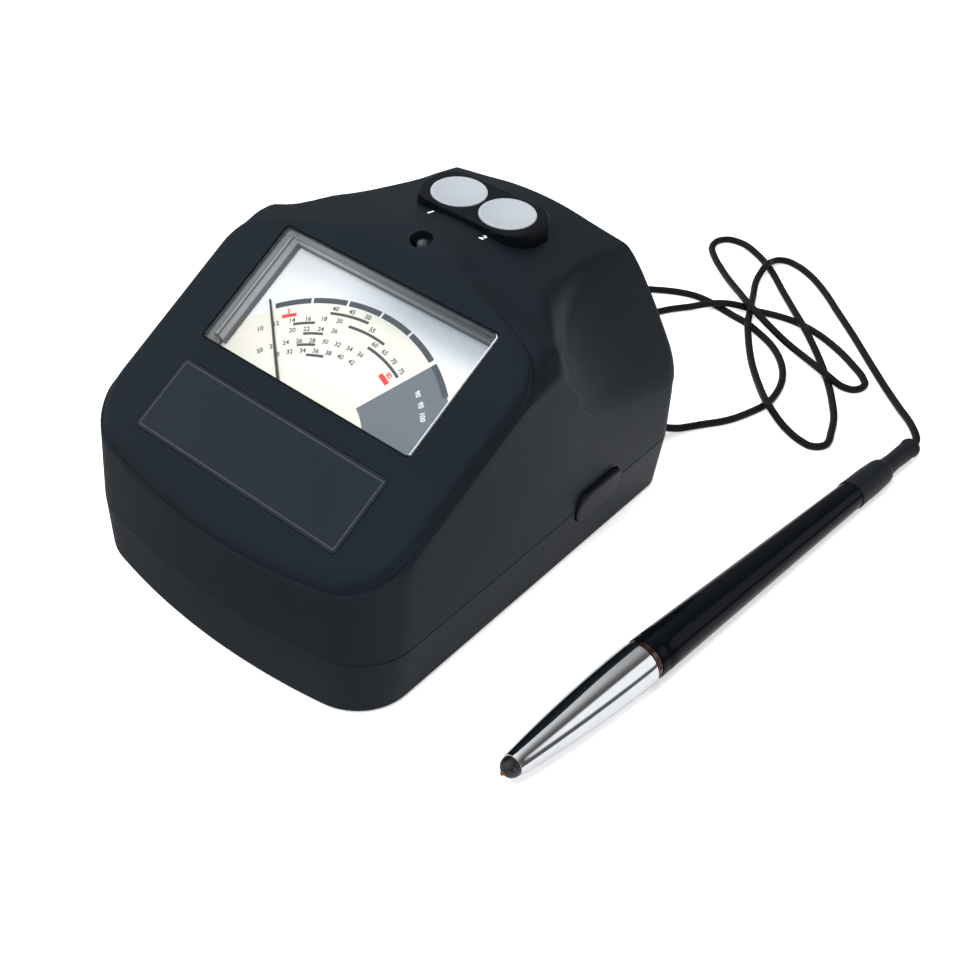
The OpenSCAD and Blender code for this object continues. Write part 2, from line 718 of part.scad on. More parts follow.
module moving_coil() {
    color([0.7, 0.4, 0.2])
        on_panel(0, pivot_s)
            rotate([0, 0, pointer_rest]) {
                difference() {
                    translate([-8.1, -1.5, -coil_low])
                        cube([16.2, 3, coil_low - coil_top]);
                    translate([-6.7, -2, -coil_low + 1])
                        cube([13.4, 4, coil_low - coil_top - 2]);
                }
                rod(staff_r, -bridge_under - 0.9, -coil_low);
            }
}

module pointer() {
    color([0.1, 0.1, 0.11])
        on_panel(0, pivot_s)
            rotate([0, 0, pointer_rest]) {
                rod(staff_r, -coil_top, -bridge_low + 0.7);
                rod(2, -pointer_deep - 0.5, -pointer_deep + 0.7);
                translate([0, 0, -pointer_deep])
                    linear_extrude(height = 0.4)
                        polygon([[-0.8, -6], [0.8, -6], [0.45, 0], [0.22, pointer_l], [-0.22, pointer_l], [-0.45, 0]]);
            }
}

module hair_spring() {
    spiral = [for (k = [0 : 60]) let(a = k * 18, r = 0.85 + k * 0.045) [r * cos(a), r * sin(a), 0]];
    color([0.6, 0.55, 0.4])
        on_panel(0, pivot_s)
            translate([0, 0, -bridge_low - 0.5])
                tube(spiral, 0.13, 4, 45, [0, 1, 0], [0, 1, 0]);
}

module meter_screws() {
    color([0.7, 0.71, 0.73])
        for (sx = [-1, 1], s = ear_s)
            on_panel(sx * ear_x, s)
                difference() {
                    union() {
                        rod(1.05, -ear_deep - ear_t - 0.5, -1.4);
                        rod(2, -ear_deep - ear_t - 1.3, -ear_deep - ear_t);
                    }
                    translate([0, 0, -ear_deep - ear_t - 1.3])
                        cube([2.2, 0.5, 1.2], center = true);
                }
}

module disc_block() {
    color([0.05, 0.055, 0.07])
        translate([0, block_y, 0])
            difference() {
                slab(block_w, block_d, block_r, block_low, block_top);
                for (sx = [-1, 1])
                    translate([sx * disc_pitch / 2, 0, 0])
                        rod(disc_d / 2 + run, block_top - disc_t, block_top + 1);
            }
}

module test_disc(sx) {
    color([0.78, 0.79, 0.82])
        translate([sx * disc_pitch / 2, block_y, 0])
            rod(disc_d / 2, block_top - disc_t, block_top + disc_proud);
}

module test_disc_left() {
    test_disc(-1);
}

module test_disc_right() {
    test_disc(1);
}

module ready_lamp() {
    color([0.8, 0.85, 0.8])
        lamp_frame() {
            rod(lamp_r, -5.5, -1.5);
            translate([0, 0, -1.5])
                sphere(lamp_r);
            rod(lamp_r + 0.5, -5.5, -lamp_sink);
        }
}

module power_rocker() {
    color([0.13, 0.14, 0.17])
        difference() {
            translate([rocker_x0, rocker_y, seam_z])
                rotate([90, 0, 90])
                    slab(rocker_l, rocker_h, rocker_r, 0, rocker_x1 - rocker_x0);
            translate([pin_x, rocker_y, 0])
                rod(pin_r + run, seam_z - rocker_h, seam_z + rocker_h);
        }
}

module switch_body() {
    color([0.1, 0.1, 0.11])
        difference() {
            union() {
                translate([switch_x0, rocker_y - switch_l / 2, seam_z - cheek_z - cheek_t])
                    cube([switch_x1 - switch_x0, switch_l, 2 * cheek_z + 2 * cheek_t]);
                for (z = [seam_z - cheek_z - cheek_t, seam_z + cheek_z])
                    translate([switch_x1 - 1, rocker_y - 4, z])
                        cube([half_w - 3.6 - switch_x1 + 1, 8, cheek_t]);
            }
            translate([pin_x, rocker_y, 0])
                rod(pin_r + run, seam_z - rocker_h, seam_z + rocker_h);
        }
}

module switch_pin() {
    color([0.75, 0.76, 0.78])
        translate([pin_x, rocker_y, 0])
            rod(pin_r, seam_z - cheek_z - cheek_t, seam_z + cheek_z + cheek_t);
}

module main_board() {
    color([0.1, 0.35, 0.2])
        difference() {
            union() {
                translate([-board_x, board_y0, board_z])
                    cube([2 * board_x, board_y1 - board_y0, board_t]);
                translate([-9, board_y0 + 16, board_z])
                    cube([10, 10, board_t + 1.6]);
                translate([8, board_y0 + 30, board_z])
                    cube([12, 6, board_t + 2.5]);
                translate([-24, board_y0 + 34, board_z])
                    cube([8, 8, board_t + 3.5]);
                translate([-18, board_y0 + 12, 0])
                    rod(3, board_z, board_z + board_t + 5);
            }
            at_corners(stud_x, stud_y[0], stud_y[1])
                rod(1.3, board_z - 1, board_z + board_t + 1);
        }
}

module board_screws() {
    color([0.7, 0.71, 0.73])
        at_corners(stud_x, stud_y[0], stud_y[1])
            difference() {
                union() {
                    rod(1.05, floor_z + 0.4, board_z + board_t + 0.5);
                    rod(2.1, board_z + board_t, board_z + board_t + 1.4);
                }
                translate([0, 0, board_z + board_t + 1.4])
                    cube([2.4, 0.5, 1.2], center = true);
            }
}

module usb_socket() {
    color([0.7, 0.71, 0.73])
        translate([socket_x, half_l - 1.4, socket_z])
            difference() {
                translate([-socket_w / 2, -9, 0])
                    cube([socket_w, 9.4, socket_h]);
                translate([0.6 - socket_w / 2, -7, 0.6])
                    cube([socket_w - 1.2, 9, socket_h - 1.2]);
            }
}

module housing_screws() {
    color([0.3, 0.31, 0.33])
        for (p = screw_at, sx = [-1, 1])
            translate([sx * p[0], p[1], 0])
                difference() {
                    union() {
                        rod(screw_head, base_z + screw_deep - 2, base_z + screw_deep);
                        rod(screw_r, base_z + screw_deep - 0.5, seam_z + screw_up);
                    }
                    translate([0, 0, base_z + screw_deep - 2])
                        cube([3.4, 0.8, 2], center = true);
                    translate([0, 0, base_z + screw_deep - 2])
                        cube([0.8, 3.4, 2], center = true);
                }
}

module rubber_feet() {
    color([0.07, 0.07, 0.08])
        at_corners(foot_in, foot_y[0], foot_y[1])
            rod(foot_r, 0, base_z + foot_sink);
}

module battery_door() {
    color([0.14, 0.155, 0.19])
        difference() {
            union() {
                translate([-door_x, door_y0, base_z])
                    cube([2 * door_x, door_y1 - door_y0, door_t]);
                translate([-door_x - tongue, door_y0, base_z + tongue_z])
                    cube([2 * door_x + 2 * tongue, door_y1 - door_y0 - 3, tongue_t]);
            }
            for (k = [0 : 4])
                translate([-9, door_y1 - 16 + 2 * k, base_z - 1])
                    cube([18, 0.8, 1.5]);
        }
}

module battery_cells() {
    color([0.2, 0.3, 0.5])
        for (k = [0 : 2])
            translate([0, cell_y[k], cell_z])
                rotate([0, k == 1 ? -90 : 90, 0]) {
                    rod(cell_r, -cell_l / 2, cell_l / 2 - 1);
                    rod(1.9, cell_l / 2 - 1.5, cell_l / 2);
                }
}

module battery_contacts() {
    color([0.75, 0.74, 0.68])
        for (k = [0 : 2], sx = [-1, 1])
            translate([0, cell_y[k], cell_z])
                rotate([0, sx * 90, 0]) {
                    translate([-4, -4.2, bay_x - 0.5])
                        cube([8, 8.4, 0.5]);
                    if ((k == 1) == (sx == 1))
                        rod(2.6, cell_l / 2, bay_x - 0.3);
                    if ((k == 1) != (sx == 1))
                        rod(1.6, cell_l / 2, bay_x - 0.3);
                }
}

module cord_gland() {
    color([0.06, 0.06, 0.07])
        translate([gland_x, 0, gland_z])
            rotate([-90, 0, 0]) {
                rod(2.4, half_l - 6.3, gland_y + 0.5);
                rod(gland_r, half_l - 6.3, half_l - 5.3);
                rod(gland_r, gland_y, gland_y + 1.4);
                translate([0, 0, gland_y + 1.4])
                    cylinder(r1 = 2.5, r2 = 1.7, h = gland_end - gland_y - 1.4);
            }
}

module probe_cord() {
    color([0.05, 0.05, 0.055])
        tube(cord_path, cord_d / 2, 8, 22.5, [0, 1, 0], -pen_dir);
}

module probe_cone() {
    color([0.8, 0.82, 0.84])
        on_pen()
            rotate_extrude()
                polygon([
                    [2.05, -cone_l], [cone_tip_r - 0.25, -cone_l], [cone_tip_r, 0.3 - cone_l],
                    [lerp(cone_tip_r, cone_r, 0.31), -0.75 * cone_l], [lerp(cone_tip_r, cone_r, 0.58), -0.5 * cone_l],
                    [lerp(cone_tip_r, cone_r, 0.81), -0.25 * cone_l], [cone_r, 0],
                    [core_seat + run, 0], [core_seat + run, -core_in - 1], [2.45, -0.6 * cone_l],
                    [2.45, nose_seat - cone_l], [2.05, nose_seat - cone_l]
                ]);
}

module probe_ring() {
    color([0.47, 0.36, 0.29])
        on_pen()
            difference() {
                rod(cone_r - 0.25, 0, ring_l);
                rod(core_seat + run, -1, ring_l + 1);
            }
}

module probe_barrel() {
    color([0.04, 0.05, 0.08])
        on_pen()
            rotate_extrude()
                polygon([
                    [core_seat + run, ring_l], [cone_r - 0.15, ring_l], [barrel_tail_r, tail_w], [1.6, tail_w],
                    [1.6, tail_w - 6], [2.4, tail_w - 6], [2.4, ring_l + core_tail + 4],
                    [core_seat + run, ring_l + core_tail - 2]
                ]);
}

module probe_nose() {
    color([0.05, 0.05, 0.06])
        on_pen()
            difference() {
                rotate_extrude()
                    polygon(concat([[0, nose_seat - cone_l], [2, nose_seat - cone_l], [2, -cone_l]],
                        [for (a = [0 : 15 : 90]) [nose_r * cos(a), -cone_l - 0.4 - (nose_l - 0.4) * sin(a)]]));
                rod(tip_r + run, -cone_l - nose_l - 1, nose_seat + 2 - cone_l);
            }
}

module probe_tip() {
    color([0.75, 0.43, 0.24])
        on_pen() {
            rod(tip_r, 0.3 - cone_l - nose_l - tip_travel, nose_seat + 0.5 - cone_l);
            translate([0, 0, -cone_l - nose_l - tip_travel])
                cylinder(r1 = 0.25, r2 = tip_r, h = 0.3);
            rod(1.5, nose_seat + 0.1 - cone_l, nose_seat + 1.1 - cone_l);
        }
}

module tip_spring() {
    z0 = nose_seat + 1.1 - cone_l + spring_r;
    z1 = spring_end - cone_l - spring_r;
    coil_r = 1.5 - spring_r;
    coil = [for (k = [0 : 60]) [coil_r * cos(36 * k), coil_r * sin(36 * k), lerp(z0, z1, k / 60)]];
    color([0.7, 0.7, 0.68])
        on_pen()
            tube(coil, spring_r, 6, 0, coil[1] - coil[0], coil[60] - coil[59]);
}

module probe_core() {
    color([0.8, 0.79, 0.75])
        on_pen()
            difference() {
                union() {
                    rod(2.3, nose_seat - cone_l, ring_l + core_tail);
                    rod(core_seat, -core_in, ring_l + core_collar);
                }
                rod(1.6, nose_seat - 0.5 - cone_l, spring_end - cone_l);
            }
}

module tail_sleeve() {
    color([0.05, 0.055, 0.06])
        on_pen()
            rotate_extrude()
                polygon([
                    [0, tail_w], [barrel_tail_r + 0.05, tail_w], [barrel_tail_r + 0.05, tail_w - lip_l],
                    [lip_r, tail_w - lip_l],
                    [lip_r - 0.4, tail_w + sleeve_l - 3], [lip_r - 0.7, tail_w + sleeve_l - 1.2],
                    [lip_r - 1.2, tail_w + sleeve_l - 0.3], [lip_r - 1.5, tail_w + sleeve_l], [0, tail_w + sleeve_l]
                ]);
}

module cord_sleeve() {
    color([0.06, 0.06, 0.065])
        on_pen() {
            rod(cord_sleeve_r, tail_w + sleeve_l, pen_w - 1.6);
            rod(cord_sleeve_r + 0.3, pen_w - 1.6, pen_w);
        }
}

upper_housing();
lower_housing();
name_plate();
meter_lens();
meter_case();
dial_plate();
meter_magnet();
meter_core();
upper_bridge();
lower_bridge();
pivot_jewels();
moving_coil();
pointer();
hair_spring();
meter_screws();
disc_block();
test_disc_left();
test_disc_right();
ready_lamp();
power_rocker();
switch_body();
switch_pin();
main_board();
board_screws();
usb_socket();
housing_screws();
rubber_feet();
battery_door();
battery_cells();
battery_contacts();
cord_gland();
probe_cord();
probe_barrel();
probe_ring();
probe_cone();
probe_nose();
probe_tip();
tip_spring();
probe_core();
tail_sleeve();
cord_sleeve();
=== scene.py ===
from math import asin, atan, atan2, cos, degrees, exp, hypot, pi, radians as rad, sin, sqrt, tan, tau
import bmesh
import bpy
from mathutils import Matrix, Vector


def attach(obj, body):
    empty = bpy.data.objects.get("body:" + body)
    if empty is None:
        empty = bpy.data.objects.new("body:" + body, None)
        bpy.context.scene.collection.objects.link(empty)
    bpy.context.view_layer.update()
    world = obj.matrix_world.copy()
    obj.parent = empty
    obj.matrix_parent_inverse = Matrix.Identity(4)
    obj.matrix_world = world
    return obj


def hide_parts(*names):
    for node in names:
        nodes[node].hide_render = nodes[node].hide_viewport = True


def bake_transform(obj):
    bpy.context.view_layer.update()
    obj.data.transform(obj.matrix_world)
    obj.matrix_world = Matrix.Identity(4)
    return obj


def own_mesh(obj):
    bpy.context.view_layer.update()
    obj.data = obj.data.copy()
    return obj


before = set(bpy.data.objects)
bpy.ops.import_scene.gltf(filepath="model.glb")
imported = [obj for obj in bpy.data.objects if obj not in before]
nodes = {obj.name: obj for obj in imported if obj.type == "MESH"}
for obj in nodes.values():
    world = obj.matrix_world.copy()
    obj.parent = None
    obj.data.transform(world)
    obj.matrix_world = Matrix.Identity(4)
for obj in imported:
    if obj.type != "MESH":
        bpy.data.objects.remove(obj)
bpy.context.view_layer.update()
scene = bpy.context.scene
mm = 0.001
print("frame loaded:", len(nodes), "nodes")


# shader tools: a Wire is an output socket that takes part in sums
def rgb(r, g, b):
    def linear(c):
        c /= 255
        return c / 12.92 if c <= 0.04045 else ((c + 0.055) / 1.055) ** 2.4
    return (linear(r), linear(g), linear(b), 1)


class Wire:
    def __init__(self, paint, socket):
        self.paint = paint
        self.socket = socket

    def maths(self, operation, a, b=0.0):
        return self.paint.node("Math", {0: a, 1: b}, {"operation": operation})

    def size(self):
        return self.maths("ABSOLUTE", self)

    def lower(self, other):
        return self.maths("MINIMUM", self, other)

    def between(self, low, high):  # 0 below low, 1 above high, smooth in between
        return self.paint.node("MapRange", {"Value": self, "From Min": low, "From Max": high},
                               {"interpolation_type": "SMOOTHSTEP"})


def sums(operation):
    return (lambda self, other: self.maths(operation, self, other),
            lambda self, other: self.maths(operation, other, self))


Wire.__add__, Wire.__radd__ = sums("ADD")
Wire.__sub__, Wire.__rsub__ = sums("SUBTRACT")
Wire.__mul__ = sums("MULTIPLY")[0]
Wire.__pow__ = sums("POWER")[0]


class Paint:
    def __init__(self, name, world=False):
        self.material = bpy.data.worlds.new(name) if world else bpy.data.materials.new(name)
        self.material.use_nodes = True
        self.tree = self.material.node_tree
        self.tree.nodes.clear()
        self.place = self.node("TexCoord", out="Object")

    def node(self, kind, sockets=None, settings=None, out=0):
        item = self.tree.nodes.new("ShaderNode" + kind)
        for key, value in (settings or {}).items():
            setattr(item, key, value)
        for key, value in (sockets or {}).items():
            if isinstance(value, Wire):
                self.tree.links.new(value.socket, item.inputs[key])
            else:
                item.inputs[key].default_value = value
        return Wire(self, item.outputs[out]) if item.outputs else item

    def noise(self, scale, detail=2.0, rough=0.5, vector=None):
        return self.node("TexNoise", {"Vector": vector or self.place, "Scale": scale, "Detail": detail,
                                      "Roughness": rough})

    def specks(self, scale, size):  # small round dots, 1 inside a dot
        gap = self.node("TexVoronoi", {"Vector": self.place, "Scale": scale}, out="Distance")
        return 1 - gap.between(size * 0.6, size)

    def stretched(self, scale):
        return self.node("Mapping", {"Vector": self.place, "Scale": scale})

    def onFace(self, place):  # coordinates on the sloped panel, from a point of it in millimetres
        return self.node("Mapping", {"Vector": self.place, "Location": place.translation * mm,
                                     "Rotation": (rad(panel["tilt"]), 0, 0)}, {"vector_type": "TEXTURE"})

    def axes(self, vector):
        split = self.tree.nodes.new("ShaderNodeSeparateXYZ")
        self.tree.links.new(vector.socket, split.inputs[0])
        return [Wire(self, s) for s in split.outputs]

    def blend(self, amount, a, b):
        return self.node("Mix", {0: amount, 6: a, 7: b}, {"data_type": "RGBA"}, 2)

    def mottled(self, amount, tone, low, high):  # one tone, from a darker to a lighter share of it
        return self.blend(amount, *(rgb(*(c * share for c in tone)) for share in (low, high)))

    def bump(self, height, strength, depth):
        return self.node("Bump", {"Height": height, "Strength": strength, "Distance": depth})

    def close(self, **sockets):
        named = {key.replace("_", " "): value for key, value in sockets.items()}
        return self.output(self.node("BsdfPrincipled", named))

    def output(self, shader, kind="OutputMaterial"):
        self.node(kind, {"Surface": shader})
        return self.material


# mesh tools: pieces are drawn in millimetres and put into metres when they are added
def mix(a, b, t):
    return a + (b - a) * t


def ease(t):
    t = min(max(t, 0), 1)
    return t * t * (3 - 2 * t)


def ramp(value, start, run):
    return ease((value - start) / run)


def move(x=0, y=0, z=0):
    return Matrix.Translation((x, y, z))


def turn(angle, axis):
    return Matrix.Rotation(rad(angle), 4, axis)


def put(bm, matrix):
    bmesh.ops.transform(bm, matrix=matrix, verts=bm.verts[:])
    return bm


def tidyFaces(bm, weld=0.0005):
    bmesh.ops.remove_doubles(bm, verts=bm.verts[:], dist=weld)
    bmesh.ops.recalc_face_normals(bm, faces=bm.faces[:])
    return bm


def meshFrom(name, bm):
    mesh = bpy.data.meshes.new(name)
    bm.to_mesh(mesh)
    bm.free()
    return mesh


def linked(name, data):
    item = bpy.data.objects.new(name, data)
    scene.collection.objects.link(item)
    return item


def joined(*parts):
    whole = bmesh.new()
    for part in parts:
        mesh = meshFrom("part", part)
        whole.from_mesh(mesh)
        bpy.data.meshes.remove(mesh)
    return whole


def lathe(profile, steps=64):  # profile of (radius, height), spun about Z
    bm = bmesh.new()
    line = [bm.verts.new((r, 0, z)) for r, z in profile]
    edges = [bm.edges.new(pair) for pair in zip(line, line[1:])]
    bmesh.ops.spin(bm, geom=line + edges, cent=(0, 0, 0), axis=(0, 0, 1), angle=tau, steps=steps,
                   use_merge=True, use_duplicate=False)
    return tidyFaces(bm)


def rod(radius, low, high):
    return [(0, low), (radius, low), (radius, high), (0, high)]


def stepped(radius, height, *ways):  # points of a profile, as steps away from one radius and height
    return [(radius + out, height + up) for out, up in ways]


def bevelled(bm, edges, offset, steps):
    bmesh.ops.bevel(bm, geom=edges, offset=offset, segments=steps, profile=0.5, affect="EDGES", material=-1)


def block(width, length, low, high, corner=0, edge=0, steps=6, near=1e-4):
    bm = bmesh.new()
    bmesh.ops.create_cube(bm, size=1)
    put(bm, move(z=(low + high) / 2) @ Matrix.Diagonal((width, length, high - low, 1)))
    upright = [e for e in bm.edges if abs(e.verts[0].co.z - e.verts[1].co.z) > near]
    if corner:
        bevelled(bm, upright, corner, steps)
    if edge:
        rim = [e for e in bm.edges if all(abs(v.co.z - high) < near for v in e.verts)]
        bevelled(bm, rim, edge, max(2, steps // 2))
    return bm


def box(x0, x1, y0, y1, z0, z1):
    return put(block(x1 - x0, y1 - y0, z0, z1), move((x0 + x1) / 2, (y0 + y1) / 2))


def loft(rings):  # rings of matching points, joined by extruded edges and closed at both ends
    bm = bmesh.new()
    ring = bmesh.ops.create_circle(bm, segments=len(rings[0]), radius=1)["verts"]
    for vert, spot in zip(ring, rings[0]):
        vert.co = spot
    edges = bm.edges[:]
    bmesh.ops.edgeloop_fill(bm, edges=edges)
    for spots in rings[1:]:
        grown = bmesh.ops.extrude_edge_only(bm, edges=edges)["geom"]
        fresh = {g for g in grown if isinstance(g, bmesh.types.BMVert)}
        ring = [next(e.other_vert(v) for e in v.link_edges if e.other_vert(v) in fresh) for v in ring]
        for vert, spot in zip(ring, spots):
            vert.co = spot
        edges = [g for g in grown if isinstance(g, bmesh.types.BMEdge)
                 and g.verts[0] in fresh and g.verts[1] in fresh]
    bmesh.ops.edgeloop_fill(bm, edges=edges)
    bmesh.ops.recalc_face_normals(bm, faces=bm.faces[:])
    return bm


def addPiece(name, bm, finish, replaces=(), body="tester", sharp=32):
    put(bm, Matrix.Scale(mm, 4))
    mesh = meshFrom(name, bm)
    piece = linked(name, mesh)
    for item in finish if isinstance(finish, tuple) else (finish,):
        mesh.materials.append(item)
    mesh.shade_smooth()
    mesh.set_sharp_from_angle(angle=rad(sharp))
    if body:
        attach(piece, body)
    if replaces:
        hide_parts(*replaces)
    return piece


def carve(bm, cutter, how="DIFFERENCE"):  # cuts one closed mesh by another, or joins the two
    pair = [linked(name, meshFrom(name, shape)) for name, shape in (("carved", bm), ("cutter", cutter))]
    cut = pair[0].modifiers.new("cut", "BOOLEAN")
    cut.object, cut.operation, cut.solver, cut.use_self = pair[1], how, "EXACT", True
    bpy.context.view_layer.update()
    result = bmesh.new()
    result.from_object(pair[0], bpy.context.evaluated_depsgraph_get())
    for item in pair:
        mesh = item.data
        bpy.data.objects.remove(item)
        bpy.data.meshes.remove(mesh)
    return result


def letters(text, size, thick, bold=0.025):
    curve = bpy.data.curves.new("letters", "FONT")
    curve.body, curve.size, curve.extrude, curve.offset = text, size, thick / 2, size * bold
    curve.align_x, curve.align_y = "CENTER", "CENTER"
    curve.resolution_u = 3
    item = linked("letters", curve)
    bpy.context.view_layer.update()
    mesh = bpy.data.meshes.new_from_object(item.evaluated_get(bpy.context.evaluated_depsgraph_get()))
    bm = bmesh.new()
    bm.from_mesh(mesh)
    bpy.data.objects.remove(item)
    bpy.data.curves.remove(curve)
    bpy.data.meshes.remove(mesh)
    return tidyFaces(bm)


# camera, lights and floor
view = dict(place=(186.7, -224.3, 270.7), yaw=42.44, pitch=42.82, roll=0.76, focal=1443.7,
            centre=(328.9, 507.4), frame=960, sensor=36, near=0.01)


def makeCamera():
    camera = linked("camera", bpy.data.cameras.new("camera"))
    yaw, pitch, roll = (rad(view[k]) for k in ("yaw", "pitch", "roll"))
    ahead = Vector((-sin(yaw) * cos(pitch), cos(yaw) * cos(pitch), -sin(pitch)))
    right = Vector((cos(yaw), sin(yaw), 0))
    up = right.cross(ahead)
    side = right * cos(roll) + up * sin(roll)
    over = up * cos(roll) - right * sin(roll)
    turned = Matrix((side, over, -ahead)).transposed().to_4x4()
    camera.matrix_world = Matrix.Translation(Vector(view["place"]) * mm) @ turned
    lens = camera.data
    lens.sensor_width = view["sensor"]
    lens.lens = view["focal"] / view["frame"] * view["sensor"]
    lens.shift_x = 0.5 - view["centre"][0] / view["frame"]
    lens.shift_y = view["centre"][1] / view["frame"] - 0.5
    lens.clip_start = view["near"]
    scene.camera = camera


studio = dict(
    world=0.42, mirror=0.12, glow=0.5, glowMirrored=0.35,
    floorSize=3, floorDull=(232, 232, 234), floor=(236, 236, 238), floorMirrored=(70, 70, 72),
    skyLights=(
        ((-0.5, -0.5, 0.7), 0.2, 1, 1.2),
        ((0.64, 0.58, 0.5), 0.92, 0.96, 1.1),
        ((-0.5, 0.6, 0.62), 0.7, 1, 0.25)),
    lamps=(
        ("overhead", (-0.35, 0.55, 0.65), (0, 0, 0.03), 0.6, 2.0, False),
        ("fill", (-0.3, 0.5, 0.7), (0, 0, 0.03), 0.6, 1.8, False),
        ("front", (0.05, -0.45, 0.85), (0, -0.02, 0.06), 0.4, 8.0, False),
        ("left", (-0.7, -0.3, 0.45), (0, 0, 0.05), 0.5, 1.1, False),
        ("right", (0.85, -0.25, 0.3), (0.02, 0, 0.03), 0.4, 1.0, True)))


def byRay(paint, seen, mirrored, other):  # what the camera sees, what is mirrored, and all else
    path = paint.tree.nodes.new("ShaderNodeLightPath")
    shares = (("Is Camera Ray", seen), ("Is Transmission Ray", seen), ("Is Glossy Ray", mirrored))
    return sum((Wire(paint, path.outputs[name]) * (value - other) for name, value in shares), other)


def makeStudio():
    scene.view_settings.view_transform = "Standard"
    sky = Paint("studio", world=True)
    x, y, z = sky.axes(sky.place)
    mirrored = studio["mirror"]
    for (east, north, up), low, high, power in studio["skyLights"]:
        mirrored = (x * east + y * north + z * up).between(low, high) * power + mirrored
    strength = byRay(sky, 1, mirrored, studio["world"])
    light = sky.node("Background", {"Color": (1, 1, 1, 1), "Strength": strength})
    scene.world = sky.output(light, "OutputWorld")
    for name, place, aim, size, power, reflected in studio["lamps"]:
        lamp = bpy.data.lights.new(name, "AREA")
        lamp.shape, lamp.size, lamp.energy = "DISK", size, power
        item = linked(name, lamp)
        item.location = place
        item.visible_glossy = reflected
        item.rotation_euler = (Vector(aim) - Vector(place)).to_track_quat("-Z", "Y").to_euler()
    floorPaint = Paint("floor")
    grain = floorPaint.noise(90, 3)
    tone = floorPaint.blend(grain, rgb(*studio["floorDull"]), rgb(*studio["floor"]))
    x, y = floorPaint.axes(floorPaint.place)[:2]
    away = x * 0.9 + y * 0.4
    dim = 0.85 - away.between(-0.05, 0.1) * 0.68 + away.between(0.2, 0.4) * 0.6
    tone = floorPaint.blend(byRay(floorPaint, 0, 1, 0) * dim, tone, rgb(*studio["floorMirrored"]))
    matt = floorPaint.node("BsdfDiffuse", {"Color": tone})
    shine = byRay(floorPaint, studio["glow"], studio["glow"] * studio["glowMirrored"], 0)
    glow = floorPaint.node("Emission", {"Color": (1, 1, 1, 1), "Strength": shine})
    floorPaint.output(floorPaint.node("AddShader", {0: matt, 1: glow}))
    bm = bmesh.new()
    bmesh.ops.create_grid(bm, x_segments=1, y_segments=1, size=studio["floorSize"])
    item = linked("floor", meshFrom("floor", bm))
    item.data.materials.append(floorPaint.material)


makeCamera()
makeStudio()
print("camera and studio set")


# finishes
def mouldedPlastic(name, tone, roughness, shine, grain=2600, depth=0.00003, dustTone=(150, 154, 160)):
    p = Paint(name)
    fine = p.noise(grain, 2)
    cloud = p.noise(40, 3)
    dust = p.specks(260, 0.028) * p.noise(30, 1).between(0.5, 0.62)
    base = p.mottled(cloud.between(0.3, 0.7), tone, 0.93, 1.05)
    base = p.blend(dust * 0.35, base, rgb(*dustTone))
    return p.close(Base_Color=base, Roughness=roughness + (fine - 0.5) * 0.16 + (cloud - 0.5) * 0.08,
                   Specular_IOR_Level=shine, Specular_Tint=(0.6, 0.82, 1, 1),
                   Normal=p.bump(fine, 0.35, depth))


def metal(name, tone, roughness, grain=900, depth=0.000004):
    p = Paint(name)
    fine = p.noise(grain, 3, 0.6)
    return p.close(Base_Color=p.mottled(fine, tone, 0.9, 1), Metallic=1.0,
                   Roughness=roughness + (fine - 0.5) * 0.12, Normal=p.bump(fine, 0.3, depth))


def softRubber(name, tone, roughness, grain=1800, shine=0.5, depth=0.00004):
    p = Paint(name)
    fine = p.noise(grain, 3, 0.6)
    cloud = p.noise(60, 2)
    return p.close(Base_Color=p.mottled(cloud, tone, 0.85, 1.12), Roughness=roughness + (fine - 0.5) * 0.2,
                   Specular_IOR_Level=shine, Normal=p.bump(fine, 0.4, depth))


def glossPlastic(name, tone, roughness, shine=0.5, depth=0.00001):
    p = Paint(name)
    cloud = p.noise(70, 3)
    fine = p.noise(900, 2)
    return p.close(Base_Color=p.mottled(cloud, tone, 0.9, 1.1), Specular_IOR_Level=shine,
                   Roughness=roughness + (cloud - 0.5) * 0.06 + (fine - 0.5) * 0.03,
                   Normal=p.bump(fine, 0.1, depth))


def printed(name, tone, roughness=0.55):
    p = Paint(name)
    fine = p.noise(3000, 2)
    return p.close(Base_Color=p.mottled(fine, tone, 0.94, 1), Roughness=roughness + (fine - 0.5) * 0.1)


bodyPlastic = mouldedPlastic("body_plastic", (18, 23, 28), 0.48, 0.15)
print("first finishes made")


